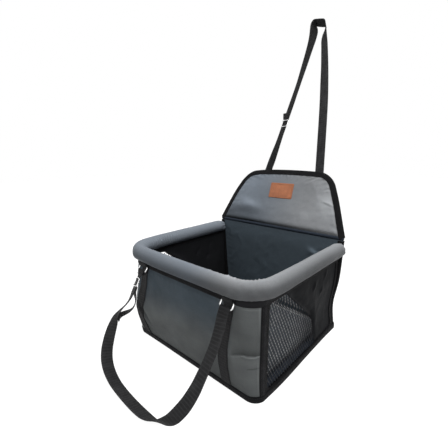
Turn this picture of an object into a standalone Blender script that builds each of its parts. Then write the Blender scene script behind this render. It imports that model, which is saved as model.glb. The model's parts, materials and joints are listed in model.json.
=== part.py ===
"""Dog car seat: a soft bucket with a padded rim, mesh sides and a folding backrest.

Units are metres, +Z is up and the front faces -Y. The origin is on the floor, under the
middle of the base. A webbing loop on the backrest goes over the vehicle's headrest, and a
webbing handle hangs from two rings at the front.
"""

import math

import bmesh
import bpy
from mathutils import Vector

# Clearances
GAP = 0.0003
BAR_PLAY = 0.0005

# Base: the outer bottom, the stiff board and the lining above it
BASE_HALF_DEPTH = 0.183
BASE_THICK = 0.002
BOARD_THICK = 0.003
LINING_THICK = 0.001
BASE_FRONT_CORNER = 0.025
BASE_BACK_CORNER = 0.004
FLOOR_CLEARANCE = 0.0005

# Padded rim: roll of foam and fabric on a tube frame
RIM_HEIGHT = 0.235
RIM_RADIUS = 0.0175
RIM_HALF_WIDTH = 0.205
RIM_AHEAD_OF_BASE = 0.012
RIM_FRONT = BASE_HALF_DEPTH + RIM_AHEAD_OF_BASE
RIM_CORNER = 0.050
SLEEVE_THICK = 0.0012
RIM_END_RADIUS = 0.011
RIM_TAPER = 0.025
RIM_TAPER_SHARE = 0.75
TUBE_RADIUS = 0.008
TUBE_WALL = 0.0018
ELBOW_SPIGOT = 0.018

# Walls, backrest and cushion: how far each stops inside or outside the rim's middle line
SEAM_LOW_INSIDE_RIM = 0.0065
SEAM_TOP_INSIDE_RIM = 0.0035
BACK_TOP_OUTSIDE_RIM = 0.0065
BACKREST_OUTSIDE_RIM = 0.008
CUSHION_INSIDE_RIM = 0.027
SEAM_HALF_WIDTH_LOW = RIM_HALF_WIDTH - SEAM_LOW_INSIDE_RIM
SEAM_HALF_WIDTH_TOP = RIM_HALF_WIDTH - SEAM_TOP_INSIDE_RIM
BACK_HALF_WIDTH_LOW = RIM_HALF_WIDTH - SEAM_LOW_INSIDE_RIM
BACK_HALF_WIDTH_TOP = RIM_HALF_WIDTH + BACK_TOP_OUTSIDE_RIM
BACKREST_HALF_WIDTH = RIM_HALF_WIDTH + BACKREST_OUTSIDE_RIM
CUSHION_HALF_WIDTH = RIM_HALF_WIDTH - CUSHION_INSIDE_RIM

# Front wall: outer fabric, foam sheet and lining, from seam to seam round the corners
WALL_FABRIC = 0.0015
WALL_FOAM = 0.004
FRONT_TOP_AHEAD_OF_BASE = 0.010
FRONT_SWELL = 0.005
SEAM_BEHIND_FRONT = 0.020
TOP_FRONT_CORNER = 0.045
FRONT_TOP = BASE_HALF_DEPTH + FRONT_TOP_AHEAD_OF_BASE
SEAM_FROM_MIDDLE = BASE_HALF_DEPTH - SEAM_BEHIND_FRONT

# Side panels and their nets
SIDE_THICK = 0.002
SIDE_FRONT_PLAY = 0.0012
WINDOW_BORDER = 0.014
WINDOW_CORNER = 0.010
PANEL_CORNER = 0.001
NET_THICK = 0.0012
NET_LAP = 0.006
NET_COLUMNS = 11
NET_ROWS = 7
NET_HOLE_SHARE = 0.72

# Back wall and backrest: two fabric skins with a board between, in one bound edge
SKIN_THICK = 0.0015
HINGE_HEIGHT = 0.260
BACK_FOOT_INSIDE_BASE = 0.0057
HINGE_AHEAD_OF_FOOT = 0.0083
BACK_FOOT = BASE_HALF_DEPTH - BACK_FOOT_INSIDE_BASE
HINGE_BACK = BACK_FOOT - HINGE_AHEAD_OF_FOOT
BACKREST_LEAN = math.radians(20)
BACKREST_LENGTH = 0.172
BACKREST_SIDE_SLOPE = math.radians(20.6)
BACKREST_CORNER = 0.055

# Binding tape
TAPE_THICK = 0.0012
TAPE_LEG = 0.015
SEAM_TAPE_WIDTH = 0.016
BASE_TAPE_HEIGHT = 0.014
BAND_HEIGHT = 0.014
BAND_THICK = 0.0015

# Label patch on the backrest
LABEL_WIDTH = 0.079
LABEL_HEIGHT = 0.046
LABEL_THICK = 0.0018
LABEL_FROM_HINGE = 0.109
LABEL_CORNER = 0.003

# Webbing and rings
WEBBING_WIDTH = 0.025
WEBBING_THICK = 0.0016
STRIP_FEET = {"left": -0.155, "right": 0.112}
RING_PLACES = {"left": -0.131, "right": 0.144}
RING_WIRE = 0.0016
RING_LENGTH = 0.013
RING_SIDE_PLAY = 0.001
RING_CORNER = 0.004
RING_DROP = 0.0044
STRAP_LAP = 0.009

# Ladder sliders
SLIDER_LENGTH = 0.022
SLIDER_RAIL = 0.003
SLIDER_BAR = 0.003
SLIDER_BAR_THICK = 0.0016
SLIDER_PLAY = 0.0004
SLIDER_SIDE_PLAY = 0.0008
CARRY_SLIDER_ROW = 1
CARRY_TAIL_FIRST_ROW = 3
CARRY_TAIL_ROWS = 5
CARRY_TAIL_BOW = 0.014
HEADREST_SLIDER_ROW = 6
HEADREST_TAIL_LENGTH = 0.017
HEADREST_TAIL_RISE = 0.007
TAIL_LIFT = 0.0024
TAIL_END_LIFT = 0.006

# Seat cushion
CUSHION_FRONT_INSIDE_BASE = 0.017
CUSHION_BACK_INSIDE_BASE = 0.027
CUSHION_FRONT = BASE_HALF_DEPTH - CUSHION_FRONT_INSIDE_BASE
CUSHION_BACK = BASE_HALF_DEPTH - CUSHION_BACK_INSIDE_BASE
CUSHION_EDGE = 0.012
CUSHION_CROWN = 0.026
CUSHION_DRAW_IN = 0.006
CUSHION_CHANNEL_DEPTH = 0.007
CUSHION_CHANNEL_WIDTH = 0.012
CUSHION_CHANNELS = 2
CUSHION_EDGE_SHARE = 0.35

# The carry strap hangs in one leaning plane. Its route is listed from the left ring to the
# right one as the sideways place and the distance down the plane.
CARRY_LEAN_RUN = 0.1445
CARRY_LEAN_DROP = 0.2085
CARRY_ROUTE = (
    (-0.1312, 0.0280),
    (-0.1306, 0.0340),
    (-0.1290, 0.0500),
    (-0.1275, 0.0650),
    (-0.1264, 0.0780),
    (-0.1290, 0.0920),
    (-0.1355, 0.1070),
    (-0.1425, 0.1220),
    (-0.1465, 0.1380),
    (-0.1440, 0.1530),
    (-0.1405, 0.1670),
    (-0.1350, 0.1830),
    (-0.1250, 0.2030),
    (-0.1090, 0.2200),
    (-0.0860, 0.2330),
    (-0.0560, 0.2420),
    (-0.0270, 0.2460),
    (0.0050, 0.2480),
    (0.0360, 0.2485),
    (0.0620, 0.2475),
    (0.0830, 0.2440),
    (0.0985, 0.2390),
    (0.1120, 0.2310),
    (0.1240, 0.2195),
    (0.1340, 0.2020),
    (0.1415, 0.1830),
    (0.1468, 0.1600),
    (0.1490, 0.1385),
    (0.1508, 0.1100),
    (0.1512, 0.0800),
    (0.1485, 0.0520),
    (0.1440, 0.0300),
)

# The turn of the carry strap's width out of its plane at each place, in degrees
CARRY_TURNS = (
    22, 22, 22, 22, 26, 34, 38, 26, 2, -18, -30, -42, -50, -58, -64, -68,
    -70, -70, -70, -74, -88, -106, -122, -136, -152, -165, -176, -183, -187, -186, -182, -180,
)

# The headrest strap's route in the backrest's plane: sideways place and distance from the hinge
HEADREST_ROUTE = (
    (-0.0703, 0.160),
    (-0.0673, 0.180),
    (-0.0632, 0.205),
    (-0.0588, 0.235),
    (-0.0550, 0.260),
    (-0.0515, 0.285),
    (-0.0480, 0.310),
    (-0.0438, 0.340),
    (-0.0403, 0.365),
    (-0.0368, 0.390),
    (-0.0333, 0.415),
    (-0.0273, 0.460),
    (-0.0218, 0.510),
    (-0.0178, 0.550),
    (-0.0146, 0.585),
    (-0.0144, 0.610),
    (-0.0168, 0.627),
    (-0.0196, 0.6395),
    (-0.0170, 0.6475),
    (-0.0095, 0.6457),
    (0.0085, 0.6400),
    (0.0160, 0.6370),
    (0.0212, 0.6300),
    (0.0220, 0.6190),
    (0.0224, 0.6050),
    (0.0256, 0.5850),
    (0.0320, 0.5600),
    (0.0459, 0.5000),
    (0.0582, 0.440),
    (0.0697, 0.380),
    (0.0797, 0.320),
    (0.0907, 0.250),
    (0.0993, 0.195),
    (0.1047, 0.160),
)

# The turn of the headrest strap's width out of that plane at each place, in degrees
HEADREST_TURNS = (
    0, 0, 0, -8, -16, -20, -20, -20, -20, -20, -22, -22, -14, -8, 4, 20, 42,
    64, 76, 68, 60, 66, 76, 60, 42, 28, 22, 14, 4, 0, 0, 0, 0, 0,
)

# Counts of faces
WALL_ROWS = 6
CORNER_STEPS = 5
FRONT_STEPS = 8
SEAM_TAPE_STEPS = 3
STRIP_STEPS = 2
RIM_SIDES = 14
RIM_ARC_STEPS = 6
WIRE_SIDES = 8
ROUND_STEPS = 4
CUSHION_COLUMNS = 22
CUSHION_ROWS = 18
ROUTE_STEPS = 2
SMOOTH_ANGLE = math.radians(40)

# Places that follow from the sizes above
WALL_FOOT = BASE_THICK + GAP
WALL_TOP = RIM_HEIGHT - RIM_RADIUS - GAP
BAND_FOOT = WALL_TOP - BAND_HEIGHT
FRONT_WALL_THICK = WALL_FABRIC + WALL_FOAM + LINING_THICK + 2 * GAP
BACK_HALF_THICK = (2 * SKIN_THICK + BOARD_THICK + 2 * GAP) / 2
BOUND_HALF_THICK = BACK_HALF_THICK + GAP + TAPE_THICK
BACK_TILT = math.atan2(HINGE_BACK - BACK_FOOT, HINGE_HEIGHT)
BACK_LENGTH = HINGE_HEIGHT / math.cos(BACK_TILT)
FLOOR_LEVEL = WALL_FOOT + BOARD_THICK + LINING_THICK + 2 * GAP
RING_AXIS_Y = -(FRONT_TOP + GAP + BAND_THICK + GAP + WEBBING_THICK + BAR_PLAY + RING_WIRE)
RING_AXIS_Z = WALL_TOP - RING_WIRE - BAR_PLAY - WEBBING_THICK - RING_DROP

# Colours
GREY_CLOTH = (0.20, 0.21, 0.22)
SLATE_CLOTH = (0.085, 0.10, 0.115)
BLACK_TAPE = (0.012, 0.012, 0.013)
BLACK_NET = (0.02, 0.021, 0.023)
FOAM_WHITE = (0.75, 0.74, 0.70)
BOARD_GREY = (0.32, 0.32, 0.31)
TUBE_WHITE = (0.70, 0.71, 0.72)
STEEL = (0.72, 0.72, 0.73)
LEATHER_TAN = (0.52, 0.19, 0.08)


def clear_scene():
    for item in list(bpy.data.objects):
        bpy.data.objects.remove(item, do_unlink=True)


def material(name, colour, roughness, metallic=0.0):
    made = bpy.data.materials.new(name)
    made.use_nodes = True
    shader = made.node_tree.nodes["Principled BSDF"]
    shader.inputs["Base Color"].default_value = (*colour, 1.0)
    shader.inputs["Roughness"].default_value = roughness
    shader.inputs["Metallic"].default_value = metallic
    made.diffuse_color = (*colour, 1.0)
    return made


def mix(low, high, share):
    return low + (high - low) * share


def steps(low, high, count):
    """Evenly spaced values from low to high, both included."""
    return [mix(low, high, index / count) for index in range(count + 1)]


def pivot(name, place):
    """An empty on a joint's axis, which carries the pieces of a moving body."""
    empty = bpy.data.objects.new(name, None)
    empty.location = place
    empty.empty_display_size = RIM_RADIUS
    bpy.context.collection.objects.link(empty)
    return empty


def add_body(name, points, faces, look, carrier=None):
    """A closed body from world points; its own origin is its carrier's."""
    origin = Vector(carrier.location) if carrier else Vector((0, 0, 0))
    mesh = bpy.data.meshes.new(name)
    mesh.from_pydata([Vector(point) - origin for point in points], [], faces)
    edit = bmesh.new()
    edit.from_mesh(mesh)
    bmesh.ops.recalc_face_normals(edit, faces=edit.faces)
    edit.to_mesh(mesh)
    edit.free()
    mesh.shade_smooth()
    mesh.set_sharp_from_angle(angle=SMOOTH_ANGLE)
    mesh.materials.append(look)
    body = bpy.data.objects.new(name, mesh)
    bpy.context.collection.objects.link(body)
    if carrier:
        body.parent = carrier
    return body


def between(name, near, far, look, carrier=None, wrap=False):
    """The closed body between two matching grids; wrap joins each row's end to its start.

    Every cell is split along the same diagonal, so that stacked layers stay parallel.
    """
    rows = len(near)
    columns = len(near[0])
    count = rows * columns
    points = [point for row in near for point in row] + [point for row in far for point in row]
    faces = []
    last = columns if wrap else columns - 1
    for row in range(rows - 1):
        for column in range(last):
            after = (column + 1) % columns
            a, b = row * columns + column, row * columns + after
            c, d = (row + 1) * columns + after, (row + 1) * columns + column
            for half in ((a, b, c), (a, c, d)):
                faces.append(half)
                faces.append(tuple(count + index for index in reversed(half)))
    for row in (0, rows - 1):
        for column in range(last):
            start = row * columns + column
            end = row * columns + (column + 1) % columns
            faces.append((start, end, count + end, count + start))
    if not wrap:
        for column in (0, columns - 1):
            for row in range(rows - 1):
                start = row * columns + column
                end = (row + 1) * columns + column
                faces.append((start, end, count + end, count + start))
    return add_body(name, points, faces, look, carrier)


def lofted(name, rings, look, carrier=None):
    """A solid through a series of rings, closed with a cap at each end."""
    size = len(rings[0])
    points = [point for ring in rings for point in ring]
    faces = []
    for ring in range(len(rings) - 1):
        for index in range(size):
            after = (index + 1) % size
            faces.append((ring * size + index, ring * size + after,
                          (ring + 1) * size + after, (ring + 1) * size + index))
    faces.append(tuple(range(size)))
    faces.append(tuple((len(rings) - 1) * size + index for index in range(size)))
    return add_body(name, points, faces, look, carrier)


def with_turns(route, turns):
    """The route's places, each with the turn of the strap's width there."""
    return [(*place, turn) for place, turn in zip(route, turns)]


def smooth_route(route, per_span):
    """Points on one smooth curve through the route's own points."""
    ends = [Vector(row) for row in route]
    ends = [2 * ends[0] - ends[1]] + ends + [2 * ends[-1] - ends[-2]]
    result = []
    for index in range(1, len(ends) - 2):
        a, b, c, d = ends[index - 1:index + 3]
        for step in range(per_span):
            t = step / per_span
            result.append((2 * b + (c - a) * t + (2 * a - 5 * b + 4 * c - d) * t ** 2
                           + (3 * b - a - 3 * c + d) * t ** 3) / 2)
    result.append(ends[-2])
    return result


def tangents(points):
    found = []
    for index in range(len(points)):
        before = points[max(index - 1, 0)]
        after = points[min(index + 1, len(points) - 1)]
        found.append((after - before).normalized())
    return found


def circle_ring(centre, axis_a, axis_b, radius, sides):
    return [centre + radius * (math.cos(turn) * axis_a + math.sin(turn) * axis_b)
            for turn in (math.tau * index / sides for index in range(sides))]


def ribbon(name, centres, widths, width, thick, look, carrier=None):
    """A flat strap along centres, turned so that its width follows the given directions."""
    rings = []
    for centre, along, across in zip(centres, tangents(centres), widths):
        side = (across - along * across.dot(along)).normalized() * width / 2
        face = along.cross(side).normalized() * thick / 2
        rings.append([centre - side - face, centre + side - face,
                      centre + side + face, centre - side + face])
    return lofted(name, rings, look, carrier)


def rounded_outline(corners, radius, count):
    """A convex outline with each corner rounded by an arc of the same radius."""
    result = []
    size = len(corners)
    for index in range(size):
        here = Vector(corners[index])
        before = (Vector(corners[index - 1]) - here).normalized()
        after = (Vector(corners[(index + 1) % size]) - here).normalized()
        half = before.angle(after) / 2
        centre = here + (before + after).normalized() * radius / math.sin(half)
        start = here + before * radius / math.tan(half)
        end = here + after * radius / math.tan(half)
        for step in range(count + 1):
            point = start.lerp(end, step / count)
            result.append(centre + (point - centre).normalized() * radius)
    return result


def front_corner(height, inset):
    """Centre, radius and sweep of the wall's front corner arc, seen from above."""
    share = height / WALL_TOP
    front = mix(BASE_HALF_DEPTH, FRONT_TOP, share)
    seam = mix(SEAM_HALF_WIDTH_LOW, SEAM_HALF_WIDTH_TOP, share)
    radius = mix(BASE_FRONT_CORNER, TOP_FRONT_CORNER, share)
    sweep = math.acos(1 - (front - SEAM_FROM_MIDDLE) / radius)
    return seam - radius * math.sin(sweep), radius - front, radius - inset, sweep


def front_face_y(x, height, inset):
    """The front wall's face, swollen in the middle, at a sideways place and a height."""
    centre_x, centre_y, radius, _ = front_corner(height, inset)
    swell = FRONT_SWELL * math.sin(math.pi * height / WALL_TOP)
    return centre_y - radius - swell * max(1 - (x / centre_x) ** 2, 0)


def front_plan(height, inset):
    """The wall's line from the left seam round the front to the right seam."""
    centre_x, centre_y, radius, sweep = front_corner(height, inset)
    arc = [(centre_x + radius * math.sin(turn), centre_y - radius * math.cos(turn))
           for turn in steps(0, sweep, CORNER_STEPS)][1:]
    middle = [(x, front_face_y(x, height, inset)) for x in steps(-centre_x, centre_x, FRONT_STEPS)]
    plan = [(-x, y) for x, y in reversed(arc)] + middle + arc
    return [Vector((x, y, height)) for x, y in plan]


def side_x(height):
    """The outer face of the right side panel at a height."""
    return mix(SEAM_HALF_WIDTH_LOW, SEAM_HALF_WIDTH_TOP, height / WALL_TOP)


def back_point(x, down, out):
    """A point of the back wall: sideways, down from the hinge and out of its middle plane."""
    return Vector((x, HINGE_BACK - down * math.sin(BACK_TILT) + out * math.cos(BACK_TILT),
                   HINGE_HEIGHT - down * math.cos(BACK_TILT) - out * math.sin(BACK_TILT)))


def backrest_point(x, up, out):
    """A point of the backrest: sideways, up from the hinge and out of its middle plane."""
    return Vector((x, HINGE_BACK + up * math.sin(BACKREST_LEAN) + out * math.cos(BACKREST_LEAN),
                   HINGE_HEIGHT + up * math.cos(BACKREST_LEAN) - out * math.sin(BACKREST_LEAN)))


def back_front_y(height):
    """The place where the side panels stop, in front of the bound back wall."""
    down = (HINGE_HEIGHT - height) / math.cos(BACK_TILT)
    return back_point(0, down, -(BOUND_HALF_THICK + GAP)).y


def build_base(looks):
    """Outer bottom, stiff board and lining, one on the other."""
    def outline(inset):
        plan = front_plan(0, inset)
        back = BASE_HALF_DEPTH - inset
        half = side_x(0) - inset
        corner = [Vector((half - BASE_BACK_CORNER + BASE_BACK_CORNER * math.cos(turn),
                          back - BASE_BACK_CORNER + BASE_BACK_CORNER * math.sin(turn), 0))
                  for turn in steps(0, math.pi / 2, ROUND_STEPS)]
        return plan + corner + [Vector((-p.x, p.y, 0)) for p in reversed(corner)]

    def layer(name, inset, foot, thick, look):
        low = [Vector((p.x, p.y, foot)) for p in outline(inset)]
        high = [Vector((p.x, p.y, foot + thick)) for p in outline(inset)]
        lofted(name, [low, high], look)

    inside = max(FRONT_WALL_THICK, BASE_HALF_DEPTH - back_front_y(WALL_FOOT)) + GAP
    layer("base_panel", 0, 0, BASE_THICK, looks["black_cloth"])
    layer("base_board", inside, WALL_FOOT, BOARD_THICK, looks["board"])
    layer("base_lining", inside, WALL_FOOT + BOARD_THICK + GAP, LINING_THICK, looks["slate"])


def build_front(looks):
    """Outer fabric, foam sheet and lining of the front wall."""
    layers = (("front_wall", 0, WALL_FABRIC, "slate"),
              ("front_foam", WALL_FABRIC + GAP, WALL_FOAM, "foam"),
              ("front_lining", WALL_FABRIC + WALL_FOAM + 2 * GAP, LINING_THICK, "slate"))
    heights = steps(WALL_FOOT, WALL_TOP, WALL_ROWS)
    for name, inset, thick, look in layers:
        outer = [front_plan(height, inset) for height in heights]
        inner = [front_plan(height, inset + thick) for height in heights]
        between(name, outer, inner, looks[look])


def build_side(side, sign, looks):
    """A fabric frame with a net sewn behind its window."""
    front = -SEAM_FROM_MIDDLE + SIDE_FRONT_PLAY

    def corners(inset_front, inset_back, low, high):
        return ((front + inset_front, low), (back_front_y(low) - inset_back, low),
                (back_front_y(high) - inset_back, high), (front + inset_front, high))

    def lift(outline, inset):
        return [Vector((sign * (side_x(z) - inset), y, z)) for y, z in outline]

    edge = rounded_outline(corners(0, 0, WALL_FOOT, WALL_TOP), PANEL_CORNER, ROUND_STEPS)
    low = WALL_FOOT + WINDOW_BORDER
    high = WALL_TOP - WINDOW_BORDER
    window_corners = corners(WINDOW_BORDER, WINDOW_BORDER, low, high)
    window = rounded_outline(window_corners, WINDOW_CORNER, ROUND_STEPS)
    outer = [lift(edge, 0), lift(window, 0)]
    inner = [lift(edge, SIDE_THICK), lift(window, SIDE_THICK)]
    between(side + "_side_panel", outer, inner, looks["tape"], wrap=True)

    lap = WINDOW_BORDER - NET_LAP
    net = corners(lap, lap, low - NET_LAP, high + NET_LAP)
    build_net(side + "_mesh", [Vector(point) for point in net], lift, looks["net"])


def build_net(name, corners, lift, look):
    """A flat net: a lattice of strands round square gaps, between four corners."""
    near_inset = SIDE_THICK + GAP
    far_inset = near_inset + NET_THICK

    def place(column, row):
        low = corners[0].lerp(corners[1], column / NET_COLUMNS)
        high = corners[3].lerp(corners[2], column / NET_COLUMNS)
        return low.lerp(high, row / NET_ROWS)

    flat = []
    index_of = {}

    def point(column, row):
        key = (column, row)
        if key not in index_of:
            index_of[key] = len(flat)
            flat.append(place(column, row))
        return index_of[key]

    rim = (1 - NET_HOLE_SHARE) / 2
    cells = []
    walls = []
    for column in range(NET_COLUMNS):
        for row in range(NET_ROWS):
            outer = [point(column, row), point(column + 1, row),
                     point(column + 1, row + 1), point(column, row + 1)]
            inner = [point(column + rim, row + rim), point(column + 1 - rim, row + rim),
                     point(column + 1 - rim, row + 1 - rim), point(column + rim, row + 1 - rim)]
            for turn in range(4):
                after = (turn + 1) % 4
                cells.append((outer[turn], outer[after], inner[after], inner[turn]))
                walls.append((inner[turn], inner[after]))
    for column in range(NET_COLUMNS):
        walls.append((point(column, 0), point(column + 1, 0)))
        walls.append((point(column, NET_ROWS), point(column + 1, NET_ROWS)))
    for row in range(NET_ROWS):
        walls.append((point(0, row), point(0, row + 1)))
        walls.append((point(NET_COLUMNS, row), point(NET_COLUMNS, row + 1)))
    count = len(flat)
    points = lift(flat, near_inset) + lift(flat, far_inset)
    faces = list(cells)
    faces += [tuple(count + index for index in reversed(cell)) for cell in cells]
    faces += [(start, end, count + end, count + start) for start, end in walls]
    add_body(name, points, faces, look)


def build_back(looks):
    """Outer cover, board and lining of the back wall, with the piped seam at its top."""
    top = BACK_HALF_THICK + GAP
    foot = (HINGE_HEIGHT - WALL_FOOT) / math.cos(BACK_TILT) - GAP

    def half_width(down):
        return mix(BACK_HALF_WIDTH_TOP, BACK_HALF_WIDTH_LOW, down / BACK_LENGTH)

    edge = TAPE_THICK + GAP
    layers = (("back_cover", BACK_HALF_THICK - SKIN_THICK, SKIN_THICK, "black_cloth"),
              ("back_board", -BOARD_THICK / 2, BOARD_THICK, "board"),
              ("back_lining", -BACK_HALF_THICK, SKIN_THICK, "slate"))
    for name, start, thick, look in layers:
        rings = []
        for out in (start, start + thick):
            rings.append([back_point(x, down, out) for down, x in (
                (top, half_width(top) - edge), (foot, half_width(foot) - edge),
                (foot, edge - half_width(foot)), (top, edge - half_width(top)))])
        lofted(name, rings, looks[look])

    upper = BOUND_HALF_THICK + GAP
    lower = (HINGE_HEIGHT - BASE_TAPE_HEIGHT - FLOOR_CLEARANCE) / math.cos(BACK_TILT) - GAP
    for side, sign in (("left", -1), ("right", 1)):
        near = []
        far = []
        for down in (upper, lower):
            half = half_width(down)
            near.append([back_point(sign * x, down, out) for x, out in channel(half, True)])
            far.append([back_point(sign * x, down, out) for x, out in channel(half, False)])
        between(side + "_back_binding", near, far, looks["tape"])

    ends = [Vector((sign * (BACK_HALF_WIDTH_TOP - edge), HINGE_BACK, HINGE_HEIGHT)) for sign in (-1, 1)]
    rings = [circle_ring(end, Vector((0, 1, 0)), Vector((0, 0, 1)), BACK_HALF_THICK, RIM_SIDES)
             for end in ends]
    lofted("fold_seam", rings, looks["slate"])


def channel(edge, outside):
    """The folded tape round an edge, as places across the edge and out of its middle."""
    skin = 0 if outside else TAPE_THICK
    out = BOUND_HALF_THICK - skin
    return ((edge - TAPE_LEG, -out), (edge - skin, -out), (edge - skin, out), (edge - TAPE_LEG, out))


def backrest_edge(inset):
    """The right half of the backrest's outline, from its foot to the middle of its top."""
    slope = BACKREST_SIDE_SLOPE
    normal = Vector((math.cos(slope), math.sin(slope)))
    foot = Vector((BACKREST_HALF_WIDTH, 0))
    centre_up = BACKREST_LENGTH - BACKREST_CORNER
    reach = normal.dot(foot) - BACKREST_CORNER
    centre = Vector(((reach - normal.y * centre_up) / normal.x, centre_up))
    radius = BACKREST_CORNER - inset
    arc = [centre + radius * Vector((math.cos(turn), math.sin(turn)))
           for turn in steps(slope, math.pi / 2, 2 * ROUND_STEPS)]
    low = BACK_HALF_THICK + GAP
    start_x = (normal.dot(foot) - inset - normal.y * low) / normal.x
    return [Vector((start_x, low))] + arc


def backrest_outline(inset):
    right = backrest_edge(inset)
    return right + [Vector((-p.x, p.y)) for p in reversed(right)]


def build_backrest(carrier, looks):
    """Front cover, board and back cover in a bound edge, with the label patch."""
    edge = TAPE_THICK + GAP
    layers = (("backrest_cover", -BACK_HALF_THICK, SKIN_THICK, "grey"),
              ("backrest_board", -BOARD_THICK / 2, BOARD_THICK, "board"),
              ("backrest_back", BACK_HALF_THICK - SKIN_THICK, SKIN_THICK, "black_cloth"))
    for name, start, thick, look in layers:
        rings = [[backrest_point(p.x, p.y, out) for p in backrest_outline(edge)]
                 for out in (start, start + thick)]
        lofted(name, rings, looks[look], carrier)

    near = []
    far = []
    lines = [backrest_outline(inset) for inset in (TAPE_LEG, 0, TAPE_THICK)]
    for leg, outer, inner in zip(*lines):
        wide = BOUND_HALF_THICK
        slim = BOUND_HALF_THICK - TAPE_THICK
        near.append([backrest_point(p.x, p.y, out)
                     for p, out in ((leg, -wide), (outer, -wide), (outer, wide), (leg, wide))])
        far.append([backrest_point(p.x, p.y, out)
                    for p, out in ((leg, -slim), (inner, -slim), (inner, slim), (leg, slim))])
    between("backrest_binding", near, far, looks["tape"], carrier)

    half = LABEL_WIDTH / 2
    low = LABEL_FROM_HINGE - LABEL_HEIGHT / 2
    high = LABEL_FROM_HINGE + LABEL_HEIGHT / 2
    patch = rounded_outline(((half, low), (half, high), (-half, high), (-half, low)),
                            LABEL_CORNER, ROUND_STEPS)
    face = -(BACK_HALF_THICK + GAP)
    lofted("label_patch", [[backrest_point(p.x, p.y, out) for p in patch]
                           for out in (face, face - LABEL_THICK)], looks["leather"], carrier)


def rim_route(first_back):
    """The rim's centre line from the left back end round the front to the right back end."""
    turn_x = RIM_HALF_WIDTH - RIM_CORNER
    turn_y = RIM_CORNER - RIM_FRONT
    arc = [Vector((turn_x + RIM_CORNER * math.sin(turn), turn_y - RIM_CORNER * math.cos(turn), RIM_HEIGHT))
           for turn in steps(0, math.pi / 2, RIM_ARC_STEPS)]
    right = arc + [Vector((RIM_HALF_WIDTH, y, RIM_HEIGHT)) for y in first_back]
    return [Vector((-p.x, p.y, p.z)) for p in reversed(right)] + right


def hollow_tube(name, centres, outer, inner, sides, look):
    """A tube with open ends along centres, with its own outer and inner radius at each."""
    upward = Vector((0, 0, 1))
    near = []
    far = []
    for centre, along, big, small in zip(centres, tangents(centres), outer, inner):
        across = along.cross(upward).normalized()
        near.append(circle_ring(centre, across, upward, big, sides))
        far.append(circle_ring(centre, across, upward, small, sides))
    between(name, near, far, look, wrap=True)


def build_rim(looks):
    """Sleeve, foam and tube frame of the padded rim, and the tape band under it."""
    end = back_front_y(RIM_HEIGHT + RIM_RADIUS) - GAP
    shoulder = end - RIM_TAPER
    middle = end - RIM_TAPER / 2
    route = rim_route((shoulder, middle, end))
    thin = mix(RIM_END_RADIUS, RIM_RADIUS, RIM_TAPER_SHARE)
    body = [RIM_RADIUS] * (len(route) - 4)
    outer = [RIM_END_RADIUS, thin] + body + [thin, RIM_END_RADIUS]
    inner = [radius - SLEEVE_THICK for radius in outer]
    hollow_tube("rim_sleeve", route, outer, inner, RIM_SIDES, looks["grey"])

    foam_end = shoulder - GAP
    route = rim_route((foam_end,))
    foam_out = RIM_RADIUS - SLEEVE_THICK - GAP
    foam_in = TUBE_RADIUS + GAP
    hollow_tube("rim_foam", route, [foam_out] * len(route), [foam_in] * len(route),
                RIM_SIDES, looks["foam"])

    bore = TUBE_RADIUS - TUBE_WALL
    turn_x = RIM_HALF_WIDTH - RIM_CORNER
    turn_y = RIM_CORNER - RIM_FRONT
    straight = {
        "rim_tube_left": (Vector((-RIM_HALF_WIDTH, turn_y + GAP, RIM_HEIGHT)),
                          Vector((-RIM_HALF_WIDTH, foam_end, RIM_HEIGHT))),
        "rim_tube_right": (Vector((RIM_HALF_WIDTH, turn_y + GAP, RIM_HEIGHT)),
                           Vector((RIM_HALF_WIDTH, foam_end, RIM_HEIGHT))),
        "rim_tube_front": (Vector((GAP - turn_x, -RIM_FRONT, RIM_HEIGHT)),
                           Vector((turn_x - GAP, -RIM_FRONT, RIM_HEIGHT))),
    }
    for name, centres in straight.items():
        hollow_tube(name, list(centres), [TUBE_RADIUS] * 2, [bore] * 2, RIM_SIDES, looks["tube"])

    for side, sign in (("left", -1), ("right", 1)):
        build_elbow("rim_elbow_" + side, sign, bore - GAP, looks["tube"])

    heights = (BAND_FOOT, WALL_TOP)
    near = [band_plan(height, -(GAP + BAND_THICK)) for height in heights]
    far = [band_plan(height, -GAP) for height in heights]
    between("rim_band", near, far, looks["tape"])


def build_elbow(name, sign, slim, look):
    """A corner fitting: a bend of the tubes' size with a slimmer spigot at each end."""
    corner = Vector((sign * (RIM_HALF_WIDTH - RIM_CORNER), RIM_CORNER - RIM_FRONT, RIM_HEIGHT))
    quarter = math.pi / 2
    bend = [(turn, 0, TUBE_RADIUS) for turn in steps(0, quarter, RIM_ARC_STEPS)]
    spots = [(0, -ELBOW_SPIGOT, slim), (0, 0, slim)] + bend
    spots += [(quarter, 0, slim), (quarter, ELBOW_SPIGOT, slim)]

    def ring(turn, beyond, radius):
        across = Vector((sign * math.sin(turn), -math.cos(turn), 0))
        ahead = Vector((sign * math.cos(turn), math.sin(turn), 0))
        centre = corner + across * RIM_CORNER + ahead * beyond
        return circle_ring(centre, across, Vector((0, 0, 1)), radius, RIM_SIDES)

    near = [ring(*spot) for spot in spots]
    far = [ring(turn, beyond, slim - TUBE_WALL)
           for turn, beyond, _ in [spots[0]] + bend + [spots[-1]]]
    elbow_body(name, near, far, look)


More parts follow.
